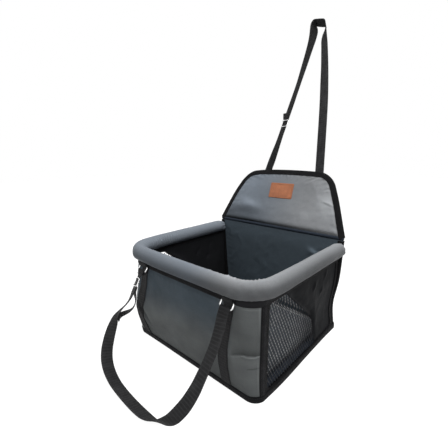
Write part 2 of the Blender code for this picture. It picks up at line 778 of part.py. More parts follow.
def elbow_body(name, near, far, look):
    """Closed skin over an outer run of rings and a shorter inner run of rings."""
    size = len(near[0])
    points = [point for ring in near for point in ring] + [point for ring in far for point in ring]
    faces = []
    for rings, start in ((near, 0), (far, len(near) * size)):
        for ring in range(len(rings) - 1):
            for index in range(size):
                after = (index + 1) % size
                low = start + ring * size
                faces.append((low + index, low + after, low + size + after, low + size + index))
    ends = ((0, len(near) * size), ((len(near) - 1) * size, (len(near) + len(far) - 1) * size))
    for outer_start, inner_start in ends:
        for index in range(size):
            after = (index + 1) % size
            faces.append((outer_start + index, outer_start + after,
                          inner_start + after, inner_start + index))
    add_body(name, points, faces, look)


def band_plan(height, inset):
    """The wall's line from the left back end round the front to the right back end."""
    plan = front_plan(height, inset)
    back = back_front_y(height)
    half = side_x(height) - inset
    return [Vector((-half, back, height))] + plan + [Vector((half, back, height))]


def build_tapes(looks):
    """Tape over the front corner seams and round the foot of the bucket."""
    heights = steps(BASE_TAPE_HEIGHT + FLOOR_CLEARANCE + GAP, BAND_FOOT - GAP, WALL_ROWS)
    for side, sign in (("left", -1), ("right", 1)):
        near = [seam_tape(height, GAP + TAPE_THICK, sign) for height in heights]
        far = [seam_tape(height, GAP, sign) for height in heights]
        between(side + "_corner_binding", near, far, looks["tape"])

    def ring(height, outset):
        plan = front_plan(height, -outset)
        half = side_x(height) + outset
        back = BASE_HALF_DEPTH + outset
        radius = BASE_BACK_CORNER + outset
        corner = [Vector((half - radius + radius * math.cos(turn),
                          back - radius + radius * math.sin(turn), height))
                  for turn in steps(0, math.pi / 2, ROUND_STEPS)]
        return plan + corner + [Vector((-p.x, p.y, p.z)) for p in reversed(corner)]

    heights = (FLOOR_CLEARANCE, BASE_TAPE_HEIGHT + FLOOR_CLEARANCE)
    near = [ring(height, GAP + TAPE_THICK) for height in heights]
    far = [ring(height, GAP) for height in heights]
    between("base_binding", near, far, looks["tape"], wrap=True)


def seam_tape(height, outset, sign):
    """Points across the corner seam's tape, from the front wall onto the side panel."""
    centre_x, centre_y, radius, sweep = front_corner(height, -outset)
    half = SEAM_TAPE_WIDTH / 2
    turns = steps(sweep - half / radius, sweep, SEAM_TAPE_STEPS)
    row = [Vector((sign * (centre_x + radius * math.sin(turn)),
                   centre_y - radius * math.cos(turn), height)) for turn in turns]
    row.append(Vector((sign * (side_x(height) + outset), half - SEAM_FROM_MIDDLE, height)))
    return row


def build_front_webbing(looks):
    """Webbing sewn down the front wall and the loop above it that holds the ring."""
    low = BASE_TAPE_HEIGHT + FLOOR_CLEARANCE + GAP
    heights = steps(low, BAND_FOOT - GAP, WALL_ROWS)
    for side in ("left", "right"):
        near = []
        far = []
        for height in heights:
            middle = mix(STRIP_FEET[side], RING_PLACES[side], height / WALL_TOP)
            across = steps(middle - WEBBING_WIDTH / 2, middle + WEBBING_WIDTH / 2, STRIP_STEPS)
            far.append([Vector((x, front_face_y(x, height, 0) - GAP, height)) for x in across])
            near.append([point - Vector((0, WEBBING_THICK, 0)) for point in far[-1]])
        between(side + "_webbing", near, far, looks["webbing"])
        build_ring_loop(side + "_ring_loop", RING_PLACES[side], looks["webbing"])


def build_ring_loop(name, middle, look):
    """A folded webbing loop that comes down from under the rim round the ring's bar."""
    small = RING_WIRE + BAR_PLAY
    big = small + WEBBING_THICK
    top = WALL_TOP - GAP
    half = WEBBING_WIDTH / 2
    turns = steps(0, math.pi, 2 * ROUND_STEPS)
    near = []
    far = []
    for x in (middle - half, middle + half):
        arcs = []
        for radius in (big, small):
            arc = [Vector((x, RING_AXIS_Y + radius * math.cos(turn), RING_AXIS_Z - radius * math.sin(turn)))
                   for turn in turns]
            arcs.append([Vector((x, arc[0].y, top))] + arc + [Vector((x, arc[-1].y, top))])
        near.append(arcs[0])
        far.append(arcs[1])
    between(name, near, far, look)


def carry_frame():
    """Down direction and outward direction of the plane that the carry strap hangs in."""
    down = Vector((0, -CARRY_LEAN_RUN, -CARRY_LEAN_DROP)).normalized()
    return down, Vector((0, down.z, -down.y))


def carry_point(x, along, out=0.0):
    down, outward = carry_frame()
    return Vector((x, RING_AXIS_Y, RING_AXIS_Z)) + down * along + outward * out


def strap_end(x):
    """The strap's sewn end: behind the strap, up and round the ring's lower bar, and forward."""
    radius = RING_WIRE + BAR_PLAY + WEBBING_THICK / 2
    behind = -(WEBBING_THICK + GAP)
    lap = carry_point(x, RING_LENGTH + STRAP_LAP, behind)
    bend = [carry_point(x, RING_LENGTH - radius * math.sin(turn), -radius * math.cos(turn))
            for turn in steps(0, math.pi, 2 * ROUND_STEPS)]
    return [lap] + bend


def turned_width(along, turn, normal):
    """The direction of a strap's width, turned about the strap from the plane it hangs in."""
    angle = math.radians(turn)
    return normal.cross(along).normalized() * math.cos(angle) + normal * math.sin(angle)


def turned_widths(centres, turns, normal):
    return [turned_width(along, turn, normal) for along, turn in zip(tangents(centres), turns)]


def slider_frame(first, second, turn, normal):
    """The middle of a straight run of strap, with its direction and its width's direction."""
    along = (second - first).normalized()
    return first.lerp(second, 1 / 2), along, turned_width(along, turn, normal)


def build_ring(name, x, carrier, look):
    """A rectangular wire ring that hangs from the loop and carries the strap's end."""
    down, outward = carry_frame()
    half = WEBBING_WIDTH / 2 + RING_SIDE_PLAY + RING_WIRE
    corners = ((x - half, 0), (x + half, 0), (x + half, RING_LENGTH), (x - half, RING_LENGTH))
    outline = rounded_outline(corners, RING_CORNER, ROUND_STEPS)
    centres = [carry_point(p.x, p.y) for p in outline]
    count = len(centres)
    near = []
    for index, centre in enumerate(centres):
        along = (centres[(index + 1) % count] - centres[index - 1]).normalized()
        near.append(circle_ring(centre, outward, along.cross(outward), RING_WIRE, WIRE_SIDES))
    points = [point for ring in near for point in ring]
    faces = []
    for ring in range(count):
        for index in range(WIRE_SIDES):
            after = (index + 1) % WIRE_SIDES
            following = (ring + 1) % count
            faces.append((ring * WIRE_SIDES + index, ring * WIRE_SIDES + after,
                          following * WIRE_SIDES + after, following * WIRE_SIDES + index))
    add_body(name, points, faces, look, carrier)


def build_slider(name, centre, along, across, look, carrier):
    """A ladder slider: side rails, outer bars before the strap and a middle bar behind it."""
    out = along.cross(across).normalized()
    slot = WEBBING_THICK / 2 + SLIDER_PLAY
    full = slot + SLIDER_BAR_THICK
    inner = WEBBING_WIDTH / 2 + SLIDER_SIDE_PLAY
    outer = inner + SLIDER_RAIL
    end = SLIDER_LENGTH / 2
    bar = end - SLIDER_BAR
    middle = SLIDER_BAR / 2
    widths = (-outer, -inner, inner, outer)
    lengths = (-end, -bar, -middle, middle, bar, end)
    depths = (-full, -slot, slot, full)

    def filled(column, row, layer):
        if column != 1:
            return True
        if layer == 2:
            return row in (0, 4)
        return layer == 0 and row == 2

    cells = {(column, row, layer) for column in range(3) for row in range(5) for layer in range(3)
             if filled(column, row, layer)}
    points = []
    index_of = {}

    def corner(column, row, layer):
        key = (column, row, layer)
        if key not in index_of:
            index_of[key] = len(points)
            points.append(centre + across * widths[column] + along * lengths[row] + out * depths[layer])
        return index_of[key]

    faces = []
    for cell in cells:
        for axis in range(3):
            for step in (0, 1):
                beside = list(cell)
                beside[axis] += 2 * step - 1
                if tuple(beside) in cells:
                    continue
                face = []
                for first, second in ((0, 0), (1, 0), (1, 1), (0, 1)):
                    spot = list(cell)
                    spot[axis] += step
                    spot[(axis + 1) % 3] += first
                    spot[(axis + 2) % 3] += second
                    face.append(corner(*spot))
                faces.append(tuple(face))
    add_body(name, points, faces, look, carrier)


def build_carry_strap(strap, slider, looks):
    """The webbing handle with its rings, slider and tail."""
    rows = smooth_route(with_turns(CARRY_ROUTE, CARRY_TURNS), ROUTE_STEPS)
    route = [carry_point(row.x, row.y) for row in rows]
    _, outward = carry_frame()
    sideways = Vector((1, 0, 0))
    left = strap_end(RING_PLACES["left"])
    right = list(reversed(strap_end(RING_PLACES["right"])))
    turned = turned_widths(route, [row.z for row in rows], outward)
    widths = [sideways] * len(left) + turned + [sideways] * len(right)
    ribbon("carry_strap", left + route + right, widths, WEBBING_WIDTH, WEBBING_THICK,
           looks["webbing"], strap)
    for side in ("left", "right"):
        build_ring(side + "_ring", RING_PLACES[side], strap, looks["steel"])

    place, along, across = carry_slider_frame()
    build_slider("carry_slider", place, along, across, looks["steel"], slider)
    first = CARRY_TAIL_FIRST_ROW * ROUTE_STEPS
    last = first + CARRY_TAIL_ROWS * ROUTE_STEPS
    start = place + along * (SLIDER_LENGTH / 2 + GAP)
    under = [start] + route[first:last + 1]
    across_all = [across] + turned[first:last + 1]
    tail = []
    for index, (point, run, wide) in enumerate(zip(under, tangents(under), across_all)):
        share = index / (len(under) - 1)
        lift = mix(TAIL_LIFT, TAIL_END_LIFT, share) + CARRY_TAIL_BOW * math.sin(math.pi * share) ** 2
        tail.append(point - run.cross(wide).normalized() * lift)
    ribbon("carry_strap_tail", tail, across_all, WEBBING_WIDTH, WEBBING_THICK,
           looks["webbing"], slider)


def carry_slider_frame():
    _, outward = carry_frame()
    first, second = (carry_point(*CARRY_ROUTE[CARRY_SLIDER_ROW + step]) for step in (0, 1))
    return slider_frame(first, second, CARRY_TURNS[CARRY_SLIDER_ROW], outward)


def headrest_centre(row):
    out = BOUND_HALF_THICK + GAP + WEBBING_THICK / 2
    return backrest_point(row[0], row[1], out)


def backrest_normal():
    return Vector((0, -math.cos(BACKREST_LEAN), math.sin(BACKREST_LEAN)))


def headrest_slider_frame():
    first, second = (headrest_centre(HEADREST_ROUTE[HEADREST_SLIDER_ROW + step]) for step in (0, 1))
    return slider_frame(first, second, HEADREST_TURNS[HEADREST_SLIDER_ROW], backrest_normal())


def build_headrest_strap(backrest, slider, looks):
    """The webbing loop over the headrest, with its slider and tail."""
    rows = smooth_route(with_turns(HEADREST_ROUTE, HEADREST_TURNS), ROUTE_STEPS)
    centres = [headrest_centre(row) for row in rows]
    widths = turned_widths(centres, [row.z for row in rows], backrest_normal())
    ribbon("headrest_strap", centres, widths, WEBBING_WIDTH, WEBBING_THICK, looks["webbing"], backrest)
    place, along, across = headrest_slider_frame()
    build_slider("headrest_slider", place, along, across, looks["steel"], slider)
    out = along.cross(across)
    start = place + along * (SLIDER_LENGTH / 2 + WEBBING_THICK) + out * TAIL_LIFT
    tail = [start + (along * HEADREST_TAIL_LENGTH + out * HEADREST_TAIL_RISE) * share
            for share in steps(0, 1, ROUND_STEPS)]
    ribbon("headrest_strap_tail", tail, [across] * len(tail), WEBBING_WIDTH, WEBBING_THICK,
           looks["webbing"], slider)


def eighth_power(value):
    fourth = value * value * value * value
    return fourth * fourth


def build_cushion(carrier, looks):
    """A crowned mat with drawn-in sides and sewn channels from side to side."""
    foot = FLOOR_LEVEL + GAP
    top = []
    bottom = []
    for row in range(CUSHION_ROWS + 1):
        v = 2 * row / CUSHION_ROWS - 1
        top_row = []
        bottom_row = []
        for column in range(CUSHION_COLUMNS + 1):
            u = 2 * column / CUSHION_COLUMNS - 1
            x = u * (CUSHION_HALF_WIDTH - CUSHION_DRAW_IN * (1 - v * v) * u * u)
            y = mix(-CUSHION_FRONT, CUSHION_BACK, (v + 1) / 2)
            y -= v * v * v * CUSHION_DRAW_IN * (1 - u * u)
            swell = math.sqrt((1 - eighth_power(u)) * (1 - eighth_power(v)))
            height = CUSHION_EDGE * max(swell, CUSHION_EDGE_SHARE) + (CUSHION_CROWN - CUSHION_EDGE) * swell
            for index in range(CUSHION_CHANNELS):
                line = mix(-CUSHION_FRONT, CUSHION_BACK, (index + 1) / (CUSHION_CHANNELS + 1))
                reach = (y - line) / CUSHION_CHANNEL_WIDTH
                height -= CUSHION_CHANNEL_DEPTH * math.exp(-reach * reach) * swell
            top_row.append(Vector((x, y, foot + height)))
            bottom_row.append(Vector((x, y, foot)))
        top.append(top_row)
        bottom.append(bottom_row)
    between("seat_cushion", top, bottom, looks["cushion"], carrier)


def make_looks():
    return {
        "grey": material("grey_cloth", GREY_CLOTH, 0.55),
        "slate": material("slate_cloth", SLATE_CLOTH, 0.6),
        "black_cloth": material("black_cloth", BLACK_NET, 0.7),
        "tape": material("black_tape", BLACK_TAPE, 0.75),
        "webbing": material("black_webbing", BLACK_TAPE, 0.7),
        "net": material("black_net", BLACK_NET, 0.6),
        "foam": material("white_foam", FOAM_WHITE, 0.9),
        "board": material("board", BOARD_GREY, 0.7),
        "tube": material("white_tube", TUBE_WHITE, 0.4),
        "steel": material("steel", STEEL, 0.25, 1.0),
        "leather": material("tan_leather", LEATHER_TAN, 0.6),
        "cushion": material("cushion_cloth", SLATE_CLOTH, 0.8),
    }


def main():
    clear_scene()
    looks = make_looks()
    fold = pivot("backrest_pivot", (0, HINGE_BACK, HINGE_HEIGHT))
    swing = pivot("carry_strap_pivot", (0, RING_AXIS_Y, RING_AXIS_Z))
    carry_slide = pivot("carry_slider_place", carry_slider_frame()[0])
    headrest_slide = pivot("headrest_slider_place", headrest_slider_frame()[0])
    cushion = pivot("cushion_place", (0, 0, FLOOR_LEVEL))
    build_base(looks)
    build_front(looks)
    build_side("left", -1, looks)
    build_side("right", 1, looks)
    build_back(looks)
    build_rim(looks)
    build_tapes(looks)
    build_front_webbing(looks)
    build_backrest(fold, looks)
    build_headrest_strap(fold, headrest_slide, looks)
    build_carry_strap(swing, carry_slide, looks)
    build_cushion(cushion, looks)


main()
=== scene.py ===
"""Looks of a dog car seat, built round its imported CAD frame.

Units are metres, +Z is up and the front faces -Y.
"""

import json
from itertools import accumulate
from math import acos, atan2, cos, exp, pi, radians, sin, tan, tau

import bmesh
import bpy
import numpy as np
from mathutils import Matrix, Vector, noise


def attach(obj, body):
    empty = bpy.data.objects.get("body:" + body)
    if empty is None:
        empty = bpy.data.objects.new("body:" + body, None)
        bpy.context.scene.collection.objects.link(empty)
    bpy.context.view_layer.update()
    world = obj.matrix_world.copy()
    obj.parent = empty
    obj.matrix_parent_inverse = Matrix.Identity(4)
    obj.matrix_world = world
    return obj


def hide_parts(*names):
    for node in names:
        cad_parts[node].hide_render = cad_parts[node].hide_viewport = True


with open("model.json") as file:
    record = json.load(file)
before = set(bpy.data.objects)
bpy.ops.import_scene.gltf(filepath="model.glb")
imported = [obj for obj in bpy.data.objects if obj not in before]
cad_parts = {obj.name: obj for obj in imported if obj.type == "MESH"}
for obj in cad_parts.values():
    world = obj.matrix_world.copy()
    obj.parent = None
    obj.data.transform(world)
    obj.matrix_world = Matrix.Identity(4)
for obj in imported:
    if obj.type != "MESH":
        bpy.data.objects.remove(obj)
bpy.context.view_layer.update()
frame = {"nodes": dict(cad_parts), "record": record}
NODES = frame["nodes"]

# Sizes repeated from the part's source
GAP = 0.0003
BAR_PLAY = 0.0005
BASE_HALF_DEPTH = 0.183
BASE_THICK = 0.002
BOARD_THICK = 0.003
LINING_THICK = 0.001
BASE_FRONT_CORNER = 0.025
BASE_BACK_CORNER = 0.004
FLOOR_CLEARANCE = 0.0005
RIM_HEIGHT = 0.235
RIM_RADIUS = 0.0175
RIM_HALF_WIDTH = 0.205
RIM_FRONT = 0.195
RIM_CORNER = 0.05
RIM_END_RADIUS = 0.011
RIM_TAPER = 0.025
SLEEVE_THICK = 0.0012
WALL_FABRIC = 0.0015
WALL_FOAM = 0.004
FRONT_TOP = 0.193
FRONT_SWELL = 0.005
SEAM_FROM_MIDDLE = 0.163
SEAM_HALF_WIDTH_LOW = 0.1985
SEAM_HALF_WIDTH_TOP = 0.2015
TOP_FRONT_CORNER = 0.045
SIDE_THICK = 0.002
SIDE_FRONT_PLAY = 0.0012
WINDOW_BORDER = 0.014
NET_LAP = 0.006
SKIN_THICK = 0.0015
HINGE_HEIGHT = 0.26
HINGE_BACK = 0.169
BACK_FOOT = 0.1773
BACK_HALF_WIDTH_LOW = 0.1985
BACK_HALF_WIDTH_TOP = 0.2115
BACKREST_LEAN = radians(20)
BACKREST_LENGTH = 0.172
BACKREST_HALF_WIDTH = 0.213
BACKREST_SIDE_SLOPE = radians(20.6)
BACKREST_CORNER = 0.055
CUSHION_HALF_WIDTH = 0.178
CUSHION_FRONT = 0.166
CUSHION_BACK = 0.156
CUSHION_CROWN = 0.026
TAPE_THICK = 0.0012
TAPE_LEG = 0.015
SEAM_TAPE_WIDTH = 0.016
BASE_TAPE_HEIGHT = 0.014
BAND_HEIGHT = 0.014
BAND_THICK = 0.0015
LABEL_WIDTH = 0.079
LABEL_HEIGHT = 0.046
LABEL_THICK = 0.0018
LABEL_FROM_HINGE = 0.109
WEBBING_WIDTH = 0.025
WEBBING_THICK = 0.0016
STRIP_ROUTES = {
    "left": ((0.013, -0.15), (0.04, -0.163), (0.08, -0.165), (0.12, -0.157), (0.165, -0.145),
             (0.215, -0.131)),
    "right": ((0.013, 0.126), (0.03, 0.1225), (0.055, 0.119), (0.095, 0.121), (0.145, 0.129),
              (0.215, 0.144)),
}
RING_PLACES = {"left": -0.131, "right": 0.144}
RING_WIRE = 0.0016
RING_LENGTH = 0.013
RING_SIDE_PLAY = 0.001
RING_CORNER = 0.004
RING_DROP = 0.0044
STRAP_LAP = 0.009
SLIDER_LENGTH = 0.022
SLIDER_RAIL = 0.003
SLIDER_BAR_THICK = 0.0016
SLIDER_PLAY = 0.0004
SLIDER_SIDE_PLAY = 0.0008
CARRY_TAIL_ROWS = (3, 8)
CARRY_TAIL_BOW = 0.014
HEADREST_TAIL_LENGTH = 0.017
HEADREST_TAIL_RISE = 0.007
TAIL_LIFT = 0.0024
TAIL_END_LIFT = 0.006
CARRY_LEAN_RUN = 0.1445
CARRY_LEAN_DROP = 0.2085
CARRY_ROUTE = (
    (-0.1312, 0.028, 22), (-0.1306, 0.034, 22), (-0.129, 0.05, 22), (-0.1275, 0.065, 22),
    (-0.1264, 0.078, 26), (-0.129, 0.092, 34), (-0.1355, 0.107, 38), (-0.1425, 0.122, 26),
    (-0.1465, 0.138, 2), (-0.144, 0.153, -18), (-0.1405, 0.167, -30), (-0.135, 0.183, -42),
    (-0.125, 0.203, -50), (-0.109, 0.22, -58), (-0.086, 0.233, -64), (-0.056, 0.242, -68),
    (-0.027, 0.246, -70), (0.005, 0.248, -70), (0.036, 0.2485, -70), (0.062, 0.2475, -74),
    (0.083, 0.244, -88), (0.0985, 0.239, -106), (0.112, 0.231, -122), (0.124, 0.2195, -136),
    (0.134, 0.202, -152), (0.1415, 0.183, -165), (0.1468, 0.16, -176), (0.149, 0.1385, -183),
    (0.1508, 0.11, -187), (0.1512, 0.08, -186), (0.1485, 0.052, -182), (0.144, 0.03, -180),
)
HEADREST_ROUTE = (
    (-0.0703, 0.16, 0), (-0.0673, 0.18, 0), (-0.0632, 0.205, 0), (-0.0588, 0.235, -8),
    (-0.055, 0.26, -16), (-0.0515, 0.285, -20), (-0.048, 0.31, -20), (-0.0438, 0.34, -20),
    (-0.0403, 0.365, -20), (-0.0368, 0.39, -20), (-0.0333, 0.415, -22), (-0.0273, 0.46, -22),
    (-0.0218, 0.51, -14), (-0.0178, 0.55, -8), (-0.0146, 0.585, 4), (-0.0144, 0.61, 20),
    (-0.0168, 0.627, 42), (-0.0196, 0.6395, 64), (-0.017, 0.6475, 76), (-0.0095, 0.6457, 68),
    (0.0085, 0.64, 60), (0.016, 0.637, 66), (0.0212, 0.63, 76), (0.022, 0.619, 60),
    (0.0224, 0.605, 42), (0.0256, 0.585, 28), (0.032, 0.56, 22), (0.0459, 0.5, 14),
    (0.0582, 0.44, 4), (0.0697, 0.38, 0), (0.0797, 0.32, 0), (0.0907, 0.25, 0),
    (0.0993, 0.195, 0), (0.1047, 0.16, 0),
)
# Share of a layer's thickness that its cloth takes, so that the layers never touch
CLOTH_SHARE = 0.8
# How far the back's cloth and boards stop short of their bound edges
SKIN_INSET = 0.0015
BACK_BOARD_INSET = 0.012
BACKREST_BOARD_INSET = 0.016
# How far the cushion's sewn border stops short of the cushion's outline
BORDER_INSET = 0.003
# Pitch, length and radius of the small stitches in the straps' laps
SMALL_STITCH = (0.0028, 0.0021, 0.0003)
WALL_FOOT = BASE_THICK + GAP
TAPE_FOOT = BASE_TAPE_HEIGHT + FLOOR_CLEARANCE + GAP
WALL_TOP = RIM_HEIGHT - RIM_RADIUS - GAP
BAND_FOOT = WALL_TOP - BAND_HEIGHT
BACK_HALF_THICK = (2 * SKIN_THICK + BOARD_THICK + 2 * GAP) / 2
BOUND_HALF_THICK = BACK_HALF_THICK + GAP + TAPE_THICK
TAPE_START = BOUND_HALF_THICK + GAP + 0.0012
BACK_TILT = atan2(HINGE_BACK - BACK_FOOT, HINGE_HEIGHT)
BACK_LENGTH = HINGE_HEIGHT / cos(BACK_TILT)
FLOOR_LEVEL = WALL_FOOT + BOARD_THICK + LINING_THICK + 2 * GAP
RING_AXIS_Y = -(FRONT_TOP + GAP + BAND_THICK + GAP + WEBBING_THICK + BAR_PLAY + RING_WIRE)
RING_AXIS_Z = WALL_TOP - RING_WIRE - BAR_PLAY - WEBBING_THICK - RING_DROP


def add_object(name, data):
    made = bpy.data.objects.new(name, data)
    bpy.context.collection.objects.link(made)
    return made


# Camera and light

def make_camera():
    data = bpy.data.cameras.new("camera")
    data.sensor_width = 36
    data.lens = 24.24
    data.clip_start = 0.01
    camera = add_object("camera", data)
    ahead = Vector((-0.6598, 0.7161, -0.2279)).normalized()
    up = Vector((-0.1464, 0.1749, 0.9736))
    right = ahead.cross(up).normalized()
    up = right.cross(ahead)
    turn = Matrix((right, up, -ahead)).transposed().to_4x4()
    camera.matrix_world = Matrix.Translation((0.4845, -0.5773, 0.4743)) @ turn
    bpy.context.scene.camera = camera


def area_light(name, place, size, power):
    """A white square lamp that looks at the bucket's rim."""
    data = bpy.data.lights.new(name, "AREA")
    data.size = size
    data.energy = power
    lamp = add_object(name, data)
    lamp.location = place
    lamp.rotation_euler = (Vector((0, 0, 0.2)) - Vector(place)).to_track_quat("-Z", "Y").to_euler()


class Nodes:
    """A node tree, with short calls to add and join its nodes."""

    def __init__(self, tree):
        self.tree = tree

    def node(self, kind, **inputs):
        made = self.tree.nodes.new("ShaderNode" + kind)
        for key, value in inputs.items():
            self.put(made, key.replace("_", " "), value)
        return made

    def put(self, node, key, value):
        socket = node.inputs[int(key[1:])] if key[0] == "i" and key[1:].isdigit() else node.inputs[key]
        if isinstance(value, bpy.types.NodeSocket):
            self.tree.links.new(value, socket)
        else:
            socket.default_value = value

    def math(self, kind, first, second=0.0, third=0.0):
        made = self.node("Math")
        made.operation = kind
        for index, value in enumerate((first, second, third)):
            self.put(made, "i%d" % index, value)
        return made.outputs[0]

    def ramp(self, value, low, high, start, end):
        made = self.node("MapRange", Value=value, From_Min=low, From_Max=high, To_Min=start, To_Max=end)
        return made.outputs["Result"]

    def seen_directly(self):
        """One where a ray comes straight from the eye, or by a mirror or through glass."""
        path = self.node("LightPath").outputs
        first = self.math("MAXIMUM", path["Is Camera Ray"], path["Is Glossy Ray"])
        return self.math("MAXIMUM", first, path["Is Transmission Ray"])


def make_studio():
    scene = bpy.context.scene
    scene.view_settings.view_transform = "Standard"
    scene.world = bpy.data.worlds.new("world")
    scene.world.use_nodes = True
    nodes = Nodes(scene.world.node_tree)
    back = nodes.tree.nodes["Background"]
    nodes.put(back, "Color", (1, 1, 1, 1))
    nodes.put(back, "Strength", nodes.ramp(nodes.seen_directly(), 0.0, 1.0, 0.36, 1.0))

    area_light("top", (0.5, 0.1, 2.6), 1.3, 46)
    area_light("key", (1.4, -1.6, 1.9), 1.4, 24)
    area_light("left", (-2.2, -0.9, 1.5), 1.6, 6)

    mesh = bpy.data.meshes.new("floor")
    mesh.from_pydata([(-6, -6, 0), (6, -6, 0), (6, 6, 0), (-6, 6, 0)], [], [(0, 1, 2, 3)])
    look = bpy.data.materials.new("pale_floor")
    look.use_nodes = True
    nodes = Nodes(look.node_tree)
    nodes.tree.nodes.clear()
    lit = nodes.node("BsdfDiffuse", Color=(0.5, 0.5, 0.5, 1))
    soft = nodes.node("BsdfDiffuse", Color=(0.3, 0.3, 0.3, 1))
    glow = nodes.node("Emission", Strength=0.9)
    seen = nodes.node("AddShader", i0=soft.outputs[0], i1=glow.outputs[0])
    both = nodes.node("MixShader", Fac=nodes.seen_directly(), i1=lit.outputs[0], i2=seen.outputs[0])
    nodes.node("OutputMaterial", Surface=both.outputs[0])
    mesh.materials.append(look)
    add_object("floor", mesh)


# Materials

def scaled(colour, share):
    return tuple(min(part * share, 1) for part in colour)


class Look(Nodes):
    """A material's nodes."""

    def __init__(self, name, colour, roughness, **sockets):
        self.material = bpy.data.materials.new(name)
        self.material.use_nodes = True
        super().__init__(self.material.node_tree)
        self.shader = self.tree.nodes["Principled BSDF"]
        self.put(self.shader, "Roughness", roughness)
        self.put(self.shader, "Base Color", (*colour, 1))
        for key, value in sockets.items():
            self.put(self.shader, key.replace("_", " "), value)
        self.material.diffuse_color = (*colour, 1)
        self.colour = colour

    def place(self, scale=(1, 1, 1), kind="UV"):
        source = self.node("TexCoord").outputs[kind]
        return self.node("Mapping", Vector=source, Scale=scale).outputs["Vector"]

    def noise(self, scale, detail=3.0, roughness=0.55, stretch=(1, 1, 1)):
        made = self.node("TexNoise", Vector=self.place(stretch, "Object"), Scale=scale,
                         Detail=detail, Roughness=roughness)
        return made.outputs["Fac"]

    def cells(self, scale, feature):
        made = self.node("TexVoronoi", Vector=self.place((1, 1, 1), "Object"), Scale=scale)
        made.feature = feature
        return made.outputs["Distance"]

    def blend(self, share, first, second):
        made = self.node("Mix")
        made.data_type = "RGBA"
        made.clamp_factor = True
        self.put(made, "i0", share)
        for index, value in ((6, first), (7, second)):
            self.put(made, "i%d" % index, value if isinstance(value, bpy.types.NodeSocket) else (*value, 1))
        return made.outputs[2]

    def tint(self, tone, share, value):
        """The tone moved by value towards the look's own colour times share."""
        return self.blend(value, tone, scaled(self.colour, share))

    def mottle(self, value, low, high, dark, pale):
        """Two shades of the look's own colour, by a value between low and high."""
        share = self.ramp(value, low, high, 0.0, 1.0)
        return self.blend(share, scaled(self.colour, dark), scaled(self.colour, pale))

    def attribute(self, name, times=1.0):
        made = self.node("Attribute")
        made.attribute_name = name
        return made.outputs["Fac"] if times == 1.0 else self.math("MULTIPLY", made.outputs["Fac"], times)

    def bump(self, height, distance, strength=1.0, under=None):
        made = self.node("Bump", Height=height, Distance=distance, Strength=strength)
        if under is not None:
            self.put(made, "Normal", under)
        return made.outputs["Normal"]

    def finish(self, colour, normal, roughness=None):
        self.put(self.shader, "Base Color", colour)
        self.put(self.shader, "Normal", normal)
        if roughness is not None:
            self.put(self.shader, "Roughness", roughness)
        return self.material


def woven_height(look, pitch):
    """Plain weave: threads that pass over and under one another, in metres of cloth."""
    split = look.node("SeparateXYZ", Vector=look.place((pi / pitch, pi / pitch, 1)))
    across, along = (look.math("SINE", split.outputs[index]) for index in (0, 1))
    over = look.math("GREATER_THAN", look.math("MULTIPLY", across, along), 0.0)
    up = look.math("MULTIPLY", look.math("ABSOLUTE", across), over)
    down = look.math("MULTIPLY", look.math("ABSOLUTE", along), look.math("SUBTRACT", 1.0, over))
    return look.math("ADD", up, down)


def coated_cloth(name, colour, roughness=0.5, pitch=0.0011, other=None, specular=0.05, wear=0.45,
                 relief=1.0):
    """Coated polyester weave, with mottled tone and a satin face.

    other is a second tone, which shows where the piece's tone attribute says so; the slate's second tone is
    a painted lit copy of it, and the grey's a painted shaded copy.
    The attribute of wear and painted light, which carries rubbed wear together with painted highlights
    and painted shade, makes places paler, or darker where it is below zero.
    """
    look = Look(name, colour, roughness, Specular_IOR_Level=specular)
    weave = woven_height(look, pitch)
    broad = look.ramp(look.noise(7.0, 3.0), 0.32, 0.68, 0.95, 1.05)
    fine = look.ramp(look.noise(900.0, 2.0), 0.35, 0.7, 0.94, 1.1)
    gaps = look.ramp(weave, 0.0, 0.5, 0.82, 1.0)
    # Rubbed wear, painted highlights and painted shade scale the tone here.
    wear_and_light_factor = look.math("MULTIPLY_ADD", look.attribute("wear"), wear, 1.0)
    level = look.math("MULTIPLY", look.math("MULTIPLY", broad, fine), look.math("MULTIPLY", gaps, wear_and_light_factor))
    base = colour if other is None else look.blend(look.attribute("tone"), colour, other)
    tone = look.node("VectorMath", i0=base)
    tone.operation = "SCALE"
    look.put(tone, "Scale", level)
    rough = look.ramp(look.noise(38.0, 4.0), 0.3, 0.7, roughness - 0.05, roughness + 0.07)
    bump = look.bump(look.noise(60.0, 5.0), 0.0008, 0.25 * relief)
    return look.finish(tone.outputs["Vector"], look.bump(weave, pitch * 0.16, 0.8 * relief, bump), rough)


def ribbed_tape(name, colour, pitch=0.0014):
    """Binding tape with fine ribs across it."""
    look = Look(name, colour, 0.6, Specular_IOR_Level=0.07)
    split = look.node("SeparateXYZ", Vector=look.place((tau / pitch, tau / (pitch * 0.6), 1)))
    cross, ribs = (look.math("SINE", split.outputs[index]) for index in (0, 1))
    height = look.math("ADD", ribs, look.math("MULTIPLY", cross, 0.25))
    tone = look.mottle(look.noise(22.0, 4.0), 0.35, 0.7, 0.8, 1.5)
    tone = look.tint(tone, 0.5, look.ramp(ribs, -1.0, 0.2, 0.45, 0.0))
    tone = look.tint(tone, 3.0, look.attribute("wear", 0.55))
    bump = look.bump(height, 0.00022, 0.8, look.bump(look.noise(90.0, 4.0), 0.001, 0.4))
    return look.finish(tone, bump, look.ramp(look.noise(50.0), 0.3, 0.7, 0.55, 0.72))


